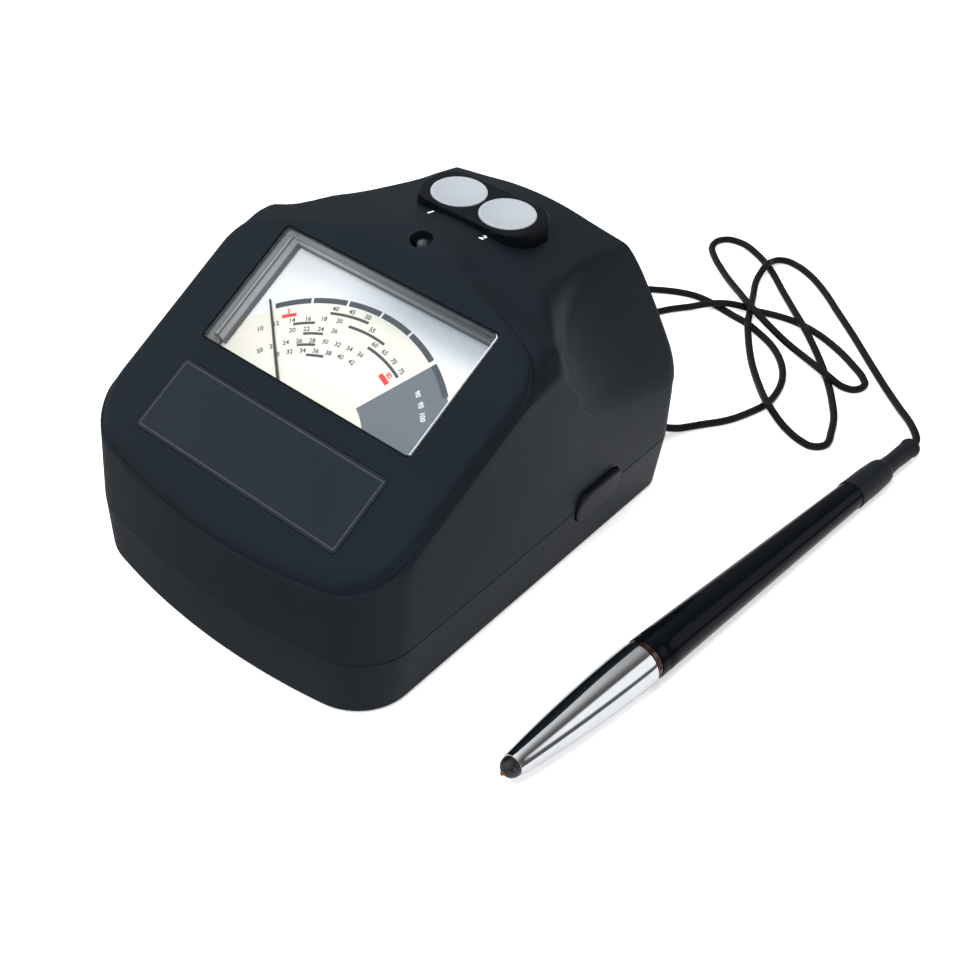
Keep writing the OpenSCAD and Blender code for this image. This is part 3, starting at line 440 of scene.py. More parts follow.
# thin round cord, from the gland to the pen's tail; a point without a height lies flat on the table
cordRoute = dict(radius=1.1, sides=16, steps=6, lift=0.02, flat=1.12, start=(36, 69.8, 7), loops=(
    (36.6, 77.2, 5.6), (38.5, 81.5, 2.6), (41.5, 86, 1.2), (45.1, 91.7), (50, 99.5), (52.7, 107),
    (54.2, 113.8), (53.6, 121.1), (50.5, 129.9), (45.5, 136.6), (39.6, 141.3), (33.2, 144.3), (28.3, 146),
    (22.9, 146.7), (17.8, 147.5), (13.2, 148.1), (8.2, 147.9), (2.8, 145.9), (-2.4, 142.6), (-9, 137),
    (-13.5, 130), (-13.5, 122.8), (-8, 118), (-1.5, 120.8), (2.6, 128.5), (6, 135.4), (10.5, 141.2, 1.5),
    (14.8, 145, 2.8), (18.5, 147.6, 3.4), (22.4, 150.8, 2.7), (26.9, 153.6, 1.5), (33, 156.4),
    (39.3, 157.5), (45.7, 157), (54.6, 154.2), (63.8, 149.3), (69.3, 145.4), (71, 143.2), (71.1, 140.5),
    (69.6, 138.1), (67, 137.1, 1.3), (61.1, 136.6, 3.2), (52.5, 140.8, 2.2), (43.5, 143.6, 2.6),
    (35.9, 145.3, 4.4), (28.7, 148, 5.5), (18.1, 156.7, 3.4), (7.5, 166, 1.2), (-0.2, 172.5), (-4, 177.1),
    (-4.5, 181.9), (-2.3, 185.1), (2, 186.2), (9.8, 183.7), (15.8, 180.1), (27, 170.4),
    (37.4, 160.3, 2.2), (44.4, 153.2, 3.3), (52.6, 146.8, 1.5), (58.6, 140.6), (68, 128.5), (72.4, 121.4),
    (75.2, 114.4), (76.2, 111.7), (76.5, 109.2), (75.3, 106.8), (73.2, 105.5), (70.6, 105.6),
    (63.6, 107.9, 1.3), (55.5, 111.6, 3.3), (47.5, 120.4, 1.6), (39.7, 129.6), (33.2, 138.5, 1.6),
    (30, 142.9, 3.2), (26.5, 150.3, 3.3), (21.9, 160.4, 1.6), (17.4, 171, 1.5), (16.7, 177.1, 3.3),
    (16.3, 182, 2), (16.9, 184.9, 1.5), (19.4, 187, 1.2), (22.7, 187), (28.7, 185), (36.8, 179.9),
    (46.3, 172), (56.1, 163.8), (65.9, 155.1), (75.4, 146.7, 1.2), (84.3, 138.4, 2.2), (91.4, 131.3, 3.6),
    (94.6, 127.5, 3.8), (95.5, 126, 3.8)))
pen = dict(x=86.45, y=-2.4, z=5.93, turn=4.34, coneRadius=5.9, coneTip=2.95, coneLength=46, ringLength=2,
           barrelLength=92, tailRadius=4, lip=1.2, lipRadius=4.3, sleeveLength=16, endLength=15,
           endRadius=2.6, springEnd=13, springKept=0.89, noseRadius=2.65, noseLength=3.1, noseSeat=4.5,
           tipRadius=0.5, tipOut=0.8, coreRadius=4.3, bore=2.05, room=2.45)
penTail = pen["ringLength"] + pen["barrelLength"]
penEnd = penTail + pen["sleeveLength"] + pen["endLength"]
penDip = degrees(asin((pen["coneRadius"] - pen["lipRadius"]) / (penTail - pen["lip"])))
penPlace = move(pen["x"], pen["y"], pen["z"]) @ turn(-pen["turn"], "Z") @ turn(-90 - penDip, "X")
penAhead = penPlace.to_3x3() @ Vector((0, 0, 1))


def makeCord():
    tail = penPlace @ Vector((0, 0, penEnd))
    route = (cordRoute["start"],) + cordRoute["loops"]
    points = [Vector(p if len(p) > 2 else (*p, cordRoute["flat"])) for p in route] + [tail + penAhead, tail]
    spans = [(b - a).length for a, b in zip(points, points[1:])]
    ways = [Vector((0, 1, 0))]
    for i in range(1, len(points) - 1):
        before, after = (points[i] - points[i - 1]) / spans[i - 1], (points[i + 1] - points[i]) / spans[i]
        ways.append((after * spans[i - 1] + before * spans[i]) / (spans[i - 1] + spans[i]))
    ways.append(-penAhead)
    line = []
    for i, span in enumerate(spans):
        for k in range(cordRoute["steps"]):
            t = k / cordRoute["steps"]
            spot = (points[i] * (2 * t ** 3 - 3 * t ** 2 + 1) + points[i + 1] * (3 * t ** 2 - 2 * t ** 3)
                    + ways[i] * span * (t ** 3 - 2 * t ** 2 + t) + ways[i + 1] * span * (t ** 3 - t ** 2))
            spot.z = max(spot.z, cordRoute["radius"] + cordRoute["lift"])
            line.append(spot)
    line.append(points[-1])
    rings = []
    for i, spot in enumerate(line):
        way = ways[0] if i == 0 else ways[-1] if i == len(line) - 1 else line[i + 1] - line[i - 1]
        side = way.cross(Vector((0, 0, 1))).normalized()
        over = way.cross(side).normalized()
        rings.append([spot + (side * cos(a) + over * sin(a)) * cordRoute["radius"]
                      for a in (tau * k / cordRoute["sides"] for k in range(cordRoute["sides"]))])
    rubber = softRubber("cord_rubber", (14, 17, 20), 0.45, 2600, 0.13)
    piece = addPiece("probe_cord_run", loft(rings), rubber, ("probe_cord",), None)
    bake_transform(piece)


makeCord()


# housing: two moulded shells with a sloped panel, a hood and raised shoulders
housing = dict(width=100, length=131.6, seam=18.2, wall=2.2, frontBow=180, frontCorner=17, rearCorner=7,
               lean=0.9, baseLean=0.8, baseEdge=1.2, floor=1.5, lip=0.35, groove=0.22,
               steps=(12, 14, 8, 64, 18, 28), rings=52, innerRings=12, turnSteps=8)
panel = dict(tilt=30, front=38.9, margin=0.9, edge=2.5, ledge=0.6, depth=72.8, rearBow=112, rearCorner=11)
hood = dict(lampDepth=5.2, lampTilt=16, lampHalf=16, lampStep=0.3, roofFall=0.192, sideFall=0.2,
            rearFall=0.137, crownLeft=0.5, start=0.6, run=10.7, faceSlope=1.61, sideZ=47.9,
            sideFallBack=0.205, sideRise=19.5, sideRun=11.3, rearWide=4.5, rearHigh=35.6, ledge=1,
            ledgeMore=5, swell=(-19, 12), swellEnd=(-4, 8), rearLedge=(2, 6), blend=4, crease=0.5,
            faceSoft=2.7, footSoft=0.3, skirtSoft=4, skirtRun=(20, 15))
pad = dict(rim=8.5, start=1.4, run=13, soft=4, lip=0.3, lipWide=1.6, round=0.6, roundWide=8, valley=2.5,
           over=0.4, overRun=(3, 12), overSteps=12, under=3.5, softRun=(4, 34), edgeFade=2.5,
           rearFade=(-26, 15), fineCuts=2, fineWide=4, fineNear=0.6, fineEdge=0.2, fineLong=0.5)
halfW, halfL, seam, wall = housing["width"] / 2, housing["length"] / 2, housing["seam"], housing["wall"]
cornerX = halfW - housing["frontCorner"]
bowY = housing["frontBow"] - halfL
cornerY = bowY - sqrt((housing["frontBow"] - housing["frontCorner"]) ** 2 - cornerX ** 2)
cornerTurn = atan2(cornerY - bowY, cornerX)
rearX, rearY = halfW - housing["rearCorner"], halfL - housing["rearCorner"]
panelIn = housing["lean"] + panel["margin"]
panelY0 = panelIn - halfL
panelY1 = panelY0 + panel["depth"]
panelX = halfW - panelIn - panel["rearCorner"]
panelBow = panelY1 - panel["rearBow"]
panelY = panelBow + sqrt((panel["rearBow"] - panel["rearCorner"]) ** 2 - panelX ** 2)
panelTurn = atan2(panelY - panelBow, panelX)
slope, lampSlope = tan(rad(panel["tilt"])), tan(rad(hood["lampTilt"]))
crestY = panelY1 + hood["lampDepth"]
crestZ = panel["front"] + panel["depth"] * slope - hood["lampStep"] + hood["lampDepth"] * lampSlope
facetY = panelY1 - hood["lampHalf"] ** 2 / (2 * panel["rearBow"])
crown = (lampSlope + hood["roofFall"]) * (crestY - facetY)
marks = [sum(housing["steps"][:k + 1]) for k in range(6)]


def onPanel(x=0, s=0, z=0):  # x to the right, s up the slope from the front edge, z out of the panel
    return move(0, panelY0, panel["front"]) @ turn(panel["tilt"], "X") @ move(x, s, z)


def arcPoint(x, y, r, a):
    return Vector((x + r * cos(a), y + r * sin(a)))


def edgePoint(i, d):  # right half of the plan outline, front middle to rear middle, moved in by d
    part = next(k for k in range(6) if i < marks[k] or k == 5)
    t = (i - (marks[part - 1] if part else 0)) / housing["steps"][part]
    if part == 0:
        return arcPoint(0, bowY, housing["frontBow"] - d, mix(-pi / 2, cornerTurn, t))
    if part == 1:
        return arcPoint(cornerX, cornerY, housing["frontCorner"] - d, mix(cornerTurn, 0, t))
    if part == 2:
        return Vector((halfW - d, mix(cornerY, panelY, t)))
    if part == 3:
        return Vector((halfW - d, mix(panelY, rearY, t)))
    if part == 4:
        return arcPoint(rearX, rearY, housing["rearCorner"] - d, mix(0, pi / 2, t))
    return Vector((mix(rearX, 0, t), halfL - d))


def panelPoint(i, d):
    if i < marks[2]:
        return edgePoint(i, panelIn + d)
    if i < marks[3]:
        t = (i - marks[2]) / housing["steps"][3]
        return arcPoint(panelX, panelY, panel["rearCorner"] - d, mix(0, panelTurn, t))
    t = (i - marks[3]) / (marks[5] - marks[3])
    return arcPoint(0, panelBow, panel["rearBow"] - d, mix(panelTurn, pi / 2, t))


def panelHeight(y):
    return panel["front"] + (y - panelY0) * slope


def softMin(a, b, k):
    return min(a, b) - max(k - abs(a - b), 0) ** 2 / (4 * k)


def rounding(gap, wide, high):  # how far a rounded edge has fallen, at a distance in from it
    return 0 if gap >= wide else high * (1 - sqrt(max(1 - ((wide - max(gap, 0)) / wide) ** 2, 0)))


def behind(y):  # distance behind the start of the hood
    return y - panelY1 + hood["start"]


def roofHeight(x, y):
    x, half = abs(x), hood["lampHalf"]
    back = ease(behind(y) / hood["run"])
    fall = crown * mix(1, hood["crownLeft"], back)
    if x < half:
        fall *= (x / half) ** 2
    else:
        fall += mix(hood["sideFall"], hood["rearFall"], back) * (x - half)
    foot = mix(panel["edge"], hood["lampStep"], ease((y - panelY) / (panelY1 - panelY)))
    roof = crestZ + hood["roofFall"] * (crestY - y) - fall
    soft = mix(hood["footSoft"], hood["skirtSoft"], ramp(x, *hood["skirtRun"]))
    lampFacet = crestZ - (crestY - y) * lampSlope
    return softMin(panelHeight(y) - foot, softMin(lampFacet, roof, hood["crease"]), soft)


def edgeGap(x, y):
    qx, qy = abs(x) - rearX, y - rearY
    most = max(qx, qy) + max(hood["blend"] - abs(qx - qy), 0) ** 2 / (4 * hood["blend"])
    return housing["rearCorner"] - housing["lean"] - hypot(max(qx, 0), max(qy, 0)) - min(most, 0)


def wallTop(y):
    back = behind(y)
    return hood["sideZ"] + hood["sideRise"] * exp(-back / hood["sideRun"]) - hood["sideFallBack"] * back


def faceHeight(x, y):
    return wallTop(y) + hood["faceSlope"] * (halfW - housing["lean"] - abs(x))


def shellHeight(x, y, inset=0, soft=hood["faceSoft"]):
    back = behind(y)
    more = ramp(back, *hood["swell"]) * (1 - ramp(back, *hood["swellEnd"]))
    ledge = hood["ledge"] + hood["ledgeMore"] * more + ramp(back, *hood["rearLedge"])
    rearGap = halfL - housing["lean"] - y - inset
    roof = roofHeight(x, y) - inset - rounding(rearGap, hood["rearWide"], hood["rearHigh"])
    face = faceHeight(x, y) - inset * hypot(1, hood["faceSlope"])
    return softMin(roof, face, soft) - rounding(edgeGap(x, y) - inset, ledge, ledge)


def padInside(x, y):  # distance inside the rim of the side pad
    inside = (roofHeight(x, y) - faceHeight(x, y)) / hypot(1, hood["faceSlope"])
    return inside - pad["rim"] * exp(-(y - panelY1 - pad["start"]) / pad["run"])


def skinHeight(x, y):  # the outer skin, with the raised pad
    inside = padInside(x, y)
    soft = mix(pad["soft"], hood["faceSoft"], ramp(y - panelY1, *pad["softRun"]))
    low, high = shellHeight(x, y, 0, soft), shellHeight(x, y)
    if inside < 0:
        sunk = (pad["lip"] + pad["round"]) * ease(1 + inside / pad["valley"])
    else:
        sunk = (pad["lip"] * (1 - ease(inside / pad["lipWide"]))
                + pad["round"] * (1 - ease(inside / pad["roundWide"])))
    fade = ease(edgeGap(x, y) / pad["edgeFade"])
    rearFade = 1 - ramp(y - halfL, *pad["rearFade"])
    return mix(low, high, ease(inside / pad["lipWide"])) - sunk * fade * rearFade


def mirrored(half):
    return half + [Vector((-p.x, p.y, p.z)) for p in half[-2:0:-1]]


def flatRing(d, z):
    return mirrored([edgePoint(i, d).to_3d() + Vector((0, 0, z)) for i in range(marks[5] + 1)])


def slopeHalf(t, inset, d, cap, early=2.4, late=1.8):  # one ring of the skin, gathered at both ends
    half = []
    for i in range(marks[5] + 1):
        share = t if i <= marks[2] else mix(t ** early, 1 - (1 - t) ** late, t)
        p = edgePoint(i, housing["lean"] + inset).lerp(panelPoint(i, d), share)
        z = skinHeight(p.x, p.y) if cap else shellHeight(p.x, p.y, inset)
        half.append(Vector((p.x, p.y, min(z, panelHeight(p.y) - hood["lampStep"]) if cap else z)))
    return half


def upperShell():
    count = housing["rings"]
    skin = [slopeHalf(k / count, 0, 0, True) for k in range(count + 1)]
    edge, under = [], []
    for i, p in enumerate(skin[0]):
        foot = edgePoint(i, 0).to_3d() + Vector((0, 0, seam))
        under.append(foot.lerp(p, 1 - pad["under"] / (p.z - seam)))
        over = pad["over"] * ramp(p.y - panelY1, *pad["overRun"]) * (1 - ramp(i, marks[3], pad["overSteps"]))
        edge.append(p.lerp(Vector((0, 0, p.z)), over / p.xy.length))
    groove = housing["groove"]
    outer = [flatRing(groove, seam), flatRing(0, seam + groove), mirrored(under), mirrored(edge)]
    outer += [mirrored(row) for row in skin[1:]]
    for step in range(1, housing["turnSteps"] + 1):
        a = pi / 2 * step / housing["turnSteps"]
        row = []
        for i, foot in enumerate(skin[-1]):
            p = panelPoint(i, panel["edge"] * (1 - cos(a)))
            z = panelHeight(p.y)
            row.append(Vector((p.x, p.y, z - (panelHeight(foot.y) - foot.z) * (1 - sin(a)))))
        outer.append(mirrored(row))
    count, innerEdge = housing["innerRings"], panel["edge"] + wall
    inner = [flatRing(wall, seam)]
    inner += [mirrored(slopeHalf(k / count, wall, innerEdge, False)) for k in range(count + 1)]
    for d, z, rings in ((innerEdge, -wall, inner), (panel["edge"] + panel["ledge"], 0, outer)):
        row = [panelPoint(i, d) for i in range(marks[5] + 1)]
        rings.append(mirrored([Vector((p.x, p.y, panelHeight(p.y) + z)) for p in row]))
    bm = loft(inner[::-1] + outer)

    def onRim(p):
        near = p.y > panelY1 - pad["fineWide"] and abs(p.z - skinHeight(p.x, p.y)) < pad["fineNear"]
        return near and edgeGap(p.x, p.y) > pad["fineEdge"] and abs(padInside(p.x, p.y)) < pad["fineWide"]
    fine = {v for v in bm.verts if onRim(v.co)}
    rim = [e for e in bm.edges if fine.issuperset(e.verts) and e.calc_length() > pad["fineLong"]]
    added = bmesh.ops.subdivide_edges(bm, edges=rim, cuts=pad["fineCuts"], use_grid_fill=True)
    for item in added["geom_inner"]:
        if isinstance(item, bmesh.types.BMVert):
            item.co.z = skinHeight(item.co.x, item.co.y)
    return bm


window = dict(width=67.4, length=35.6, s=38.4, corner=1, thick=3.4, proud=0.2, skirt=0.5, skirtEnd=8.6)
plate = dict(width=66.6, length=21, s=10.7, sink=0.5, proud=0.15, gap=0.3)
windowMid = window["s"] + window["length"] / 2
plateMid = plate["s"] + plate["length"] / 2
lampMid = move(0, panelY1 + hood["lampDepth"] * 0.55, crestZ - hood["lampDepth"] * 0.45 * lampSlope)
lampPlace = lampMid @ turn(hood["lampTilt"], "X")
discs = dict(y=panelY1 + 26.9, width=35, depth=17.2, corner=6.5, rise=3.15, tall=9.2, radius=7.3, pitch=15.5,
             proud=0.15, well=2.2, gap=0.2)
discTop = roofHeight(0, discs["y"]) + discs["rise"]
rocker = dict(length=18.6, height=9.4, y=halfL - 37, out=1.4, flush=0.45, deep=5.8, corner=3.6, gap=0.45,
              pin=1.05, pinDeep=4.8)
rockerPlace = move(halfW, rocker["y"], seam) @ turn(90, "Z") @ turn(90, "X")


def rockerHole():
    gap = rocker["gap"]
    hole = block(rocker["length"] + 2 * gap, rocker["height"] + 2 * gap, -6, 6, rocker["corner"] + gap)
    return put(hole, rockerPlace)


def makeUpper():
    def panelHole(width, length, s, low, corner):
        return put(block(width, length, low, 3, corner), onPanel(0, s))
    step, gap = 2 * window["corner"] * 0.35, plate["gap"]
    cuts = joined(
        panelHole(window["width"], window["length"], windowMid, -10, window["corner"]),
        panelHole(window["width"] + step, window["length"] + step, windowMid, -0.4, window["corner"] + 0.3),
        panelHole(plate["width"] + gap, plate["length"] + gap, plateMid, -plate["sink"], 1.2))
    shell = carve(upperShell(), cuts)
    lampHole = put(lathe([(0, -12), (2.3, -12), (2.3, -4.5), (1.65, -4.5), (1.65, -2.4), (2.75, -2.4),
                          (2.9, 0.05), (3.3, 0.3), (3.3, 3), (0, 3)]), lampPlace)
    gap = discs["gap"]
    discHole = put(block(discs["width"] + 2 * gap, discs["depth"] + 2 * gap, discTop - discs["tall"],
                         discTop + 4, discs["corner"] + gap, 0, 12), move(0, discs["y"]))
    shell = carve(shell, joined(lampHole, discHole, rockerHole()))
    addPiece("upper_shell", shell, bodyPlastic, ("upper_housing",))


screw = dict(side=9, front=17, rear=15, post=4.2, head=3, headEnd=6.5, shank=1.65)
foot = dict(side=12, front=31, rear=26, radius=4.5, recess=4.65, height=2.5)
screwSpots, footSpots = ([(sx * (halfW - item["side"]), y) for sx in (-1, 1)
                          for y in (item["front"] - halfL, halfL - item["rear"])] for item in (screw, foot))
bay = dict(x=25.5, y0=18.2, y1=51.4, top=14.35, wall=1.5, doorX=27, doorY0=16.7, doorTop=3.3, tongue=1.2,
           gap=0.15)
gland = dict(x=halfW - 14, z=7, radius=3.2, hole=2.5, face=halfL - 0.96, end=halfL + 4, ribs=3)
socket = dict(x=20 - halfW, z=8.1, width=7.8, height=3.8, gap=0.15)


def posts(spots, profile, steps=32):
    return [put(lathe(profile, steps), move(x, y)) for x, y in spots]


def makeBase():
    floor, lean, edge, groove = housing["floor"], housing["baseLean"], housing["baseEdge"], housing["groove"]
    steps, lip, inside = housing["turnSteps"], housing["lip"], housing["floor"] + 0.4
    turns = [pi / 2 * (1 - k / steps) for k in range(steps + 1)]
    rings = [flatRing(lean + edge + d, z) for d, z in ((2.6, floor), (1.4, floor), (1, lip))]
    rings += [flatRing(lean + edge * (1 - cos(a)), lip + edge * (1 - sin(a))) for a in turns]
    rings += [flatRing(d, z) for d, z in ((0, seam - groove), (groove, seam), (wall, seam),
                                          (wall + lean, floor + wall))]
    x, side, rim, gap = bay["x"], bay["doorX"], bay["wall"], bay["gap"]
    ribs = joined(
        box(-x - rim, x + rim, bay["y0"] - rim, bay["y1"] + rim, inside, bay["top"] + rim),
        box(-side - 3, side + 3, bay["doorY0"] - 1, halfL - lean - 1, inside, floor + wall + 1),
        *posts(screwSpots, rod(screw["post"], inside, seam - 0.1)))
    shell = carve(loft(rings), ribs, "UNION")
    doorWays = [box(-half, half, bay["doorY0"] - gap, halfL + 2, low, high) for half, low, high in (
        (side + gap, 0, bay["doorTop"] + 0.1), (side + bay["tongue"] + gap, 2.1, 3.1))]
    bayRoom = box(-x, x, bay["y0"], bay["y1"], 0, bay["top"])
    shell = carve(shell, carve(bayRoom, joined(*doorWays), "UNION"))
    head, shank, deep = screw["head"], screw["shank"], screw["headEnd"]
    holes = posts(screwSpots, [(0, 0), (head, 0), (head, deep), (shank, deep), (shank, seam + 1),
                               (0, seam + 1)])
    holes += posts(footSpots, rod(foot["recess"], 0, floor + 1))
    half, gap, low = socket["width"] / 2, socket["gap"], socket["z"]
    holes.append(box(socket["x"] - half - gap, socket["x"] + half + gap, halfL - 6, halfL + 2, low - gap,
                     low + socket["height"] + gap))
    place = move(gland["x"], halfL, gland["z"]) @ turn(-90, "X")
    holes.append(put(lathe(rod(gland["hole"], -7, 2), 32), place))
    holes.append(rockerHole())
    shell = carve(shell, joined(*holes))
    addPiece("lower_shell", shell, bodyPlastic, ("lower_housing",))


makeUpper()
makeBase()
print("housing made")


# name plate, bare, with a fine outline
def makePlate():
    p = Paint("name_plate")
    x, y = p.axes(p.onFace(onPanel(0, plateMid)))[:2]
    inset = (plate["width"] / 2 * mm - x.size()).lower(plate["length"] / 2 * mm - y.size())
    line = inset.between(0.0007, 0.00085) * (1 - inset.between(0.00105, 0.0012))
    grain = p.noise(5200, 2)
    cloud = p.noise(60, 2)
    tone = p.blend(cloud, rgb(24, 30, 38), rgb(30, 36, 44))
    tone = p.blend(line * 0.35, tone, rgb(92, 97, 105))
    finish = p.close(Base_Color=tone, Roughness=0.55 + (grain - 0.5) * 0.25, Specular_IOR_Level=0.15,
                     Normal=p.bump(grain, 0.5, 0.00004))
    bm = block(plate["width"], plate["length"], -plate["sink"], plate["proud"], 1, 0.12)
    addPiece("plate_face", put(bm, onPanel(0, plateMid)), finish, ("name_plate",))


makePlate()


# meter: dial with its print, and the lens over it
dial = dict(pivot=27.2, depth=9, thick=0.8, halfWidth=34.3, low=37.2, high=74.6, radius=40.6, lift=0.02)


def arcBar(radius, width, start, stop, lift):
    bm = bmesh.new()
    a, b = bm.verts.new((0, radius - width / 2, 0)), bm.verts.new((0, radius + width / 2, 0))
    edge = bm.edges.new((a, b))
    put(bm, turn(-start, "Z"))
    steps = max(2, round(abs(stop - start) / 1.5))
    bmesh.ops.spin(bm, geom=[a, b, edge], cent=(0, 0, 0), axis=(0, 0, 1), angle=rad(start - stop),
                   steps=steps)
    top = bmesh.ops.extrude_face_region(bm, geom=bm.faces[:])["geom"]
    bmesh.ops.translate(bm, vec=(0, 0, lift), verts=[v for v in top if isinstance(v, bmesh.types.BMVert)])
    return tidyFaces(bm)


def makeDial():
    face = onPanel(0, dial["pivot"], -dial["depth"])
    p = Paint("dial_face")
    x, y = p.axes(p.onFace(face))[:2]
    reach = (x * x + y * y) ** 0.5
    paper = p.noise(1500, 3)
    stain = p.noise(60, 2)
    tone = p.blend(reach.between(0.0392, 0.0402), rgb(236, 232, 219), rgb(238, 241, 243))
    tone = p.blend((paper - 0.5) * 0.12 + stain * 0.08, tone, rgb(214, 211, 202))
    edge = (dial["high"] - dial["pivot"]) * mm
    # painted shadow of the window's top frame along the dial's top edge, stronger towards the right
    shade = y.between(edge - 0.013, edge - 0.002) * (0.35 + x.between(-0.02, 0.012) * 0.5)
    tone = p.blend(shade, tone, rgb(146, 156, 164))
    paperFinish = p.close(Base_Color=tone, Roughness=0.62 + (paper - 0.5) * 0.1)
    bm = put(block(2 * dial["halfWidth"], dial["high"] - dial["low"], -dial["thick"], 0, 0.4, 0.05),
             onPanel(0, (dial["high"] + dial["low"]) / 2, -dial["depth"]))
    addPiece("dial_sheet", bm, paperFinish, ("dial_plate",))
    lift = dial["lift"]
    dashes = [arcBar(dial["radius"], 1.5, a, b, lift * 2) for a, b in (
        (-43.6, -29.9), (-29, -15.9), (-15, -1.7), (-0.8, 12.3), (13.2, 26.7), (28.4, 42))]
    darkBars = [arcBar(r, 0.75, a, b, lift) for a, b, r in (
        (-36.4, -26.6, 34.25), (-31.2, -21.3, 31.25), (-33.7, -23.6, 28.1), (-27.5, -16.5, 25.2),
        (-21.1, -3.9, 37.2), (-11, 7.9, 34.6), (2.7, 25, 31.7))]
    redBars = [arcBar(37, 1, -41.3, -35.2, lift), arcBar(28.7, 1.3, 18.1, 25, lift)]
    wedge = arcBar(30.2, 21.6, 28.4, 74, lift)
    bmesh.ops.bisect_plane(wedge, geom=wedge.verts[:] + wedge.edges[:] + wedge.faces[:],
                           plane_co=(dial["halfWidth"] - 0.3, 0, 0), plane_no=(1, 0, 0), clear_outer=True)

    def figureRow(radius, start, stop, numbers, size=1.75):
        places = [mix(start, stop, (k + 0.5) / len(numbers)) for k in range(len(numbers))]
        return [put(letters(str(n), size, lift * 2), turn(-a, "Z") @ move(0, radius))
                for n, a in zip(numbers, places)]
    figures = (figureRow(35.4, -54.5, -12.5, range(10, 22, 2)) + figureRow(32.5, -40, -13, range(20, 28, 2))
               + figureRow(29.2, -57, 5.5, range(20, 38, 2)) + figureRow(26.4, -49, 4.5, range(30, 44, 2))
               + figureRow(38.5, -23, -2, (40, 45, 50)) + figureRow(36, -5.5, 4, (55,))
               + figureRow(33.2, 1.5, 26.5, (60, 65, 70, 75)))
    redFigures = figureRow(38.3, -42.6, -34.2, (5,)) + figureRow(30.2, 18.3, 24.9, (80,))
    whiteFigures = [put(bm, move(z=lift)) for bm in figureRow(34.4, 34, 50, (90, 95, 100))]
    for name, parts, tone in (
            ("dial_dashes", dashes, (52, 60, 68)), ("dial_bars", darkBars, (46, 54, 62)),
            ("dial_reds", redBars + redFigures, (228, 48, 58)), ("dial_wedge", [wedge], (96, 106, 115)),
            ("dial_figures", figures, (34, 37, 42)), ("dial_whites", whiteFigures, (240, 242, 244))):
        addPiece(name, put(joined(*parts), face), printed(name, tone))


def makeLens():
    p = Paint("lens_clear")
    haze = p.noise(300, 3)
    clear = p.node("BsdfTransparent", {"Color": (0.99, 0.995, 1, 1)})
    gloss = p.node("BsdfGlossy", {"Roughness": 0.03 + haze * 0.03})
    facing = p.node("LayerWeight", {"Blend": 0.5}, out="Facing")
    p.output(p.node("MixShader", {0: facing ** 5 * 0.9 + 0.027, 1: clear, 2: gloss}))
    q = Paint("lens_edge")
    x, y, z = q.axes(q.onFace(onPanel(0, windowMid)))
    cloud = q.noise(200, 3)
    # the lens's side walls are opaque and painted with light and shade: painted reflections in bands by
    # depth, painted shade growing towards the right end, a painted highlight line on the right end and
    # painted shade along the near edge
    shadeAcross = x.between(-0.03, 0.032)
    paintedEdgeLight = q.blend(z.between(-0.0022, -0.0007), rgb(158, 161, 166), rgb(36, 39, 44))
    for amount, tone in (
            (z.between(-0.0044, -0.004) * (1 - z.between(-0.0038, -0.0034)), (92, 96, 102)),
            ((1 - z.between(-0.0048, -0.0044)) * 0.5, (206, 209, 214)),
            (1 - z.between(-0.0072, -0.0062), (84, 88, 94)),
            (shadeAcross * 0.7, (34, 37, 42)),
            (x.between(0.0325, 0.033), (244, 247, 249)),
            (1 - y.between(-0.0173, -0.0168), (52, 55, 60))):
        paintedEdgeLight = q.blend(amount, paintedEdgeLight, rgb(*tone))
    q.close(Base_Color=paintedEdgeLight, Roughness=0.5 + cloud * 0.08, Specular_IOR_Level=0.2)
    low, end, thin = -window["thick"], -window["skirtEnd"], window["skirt"]
    bm = block(window["width"] - 0.3, window["length"] - 0.3, low, window["proud"], window["corner"], 0.3)
    for face in bm.faces:
        face.material_index = 0 if abs(face.normal.z) > 0.9 else 1
    wide, tall = window["width"] / 2 - 0.2, window["length"] / 2 - 0.2
    skirt = joined(*(box(x0, x1, y0, tall, end, low) for x0, x1, y0 in (
        (-wide, thin - wide, 3 - tall), (wide - thin, wide, 3 - tall),
        (thin - wide, wide - thin, tall - thin))))
    for face in skirt.faces:
        face.material_index = 1
    bm = put(joined(bm, skirt), onPanel(0, windowMid))
    addPiece("lens_plate", bm, (p.material, q.material), ("meter_lens",))


makeDial()
makeLens()
print("meter made")


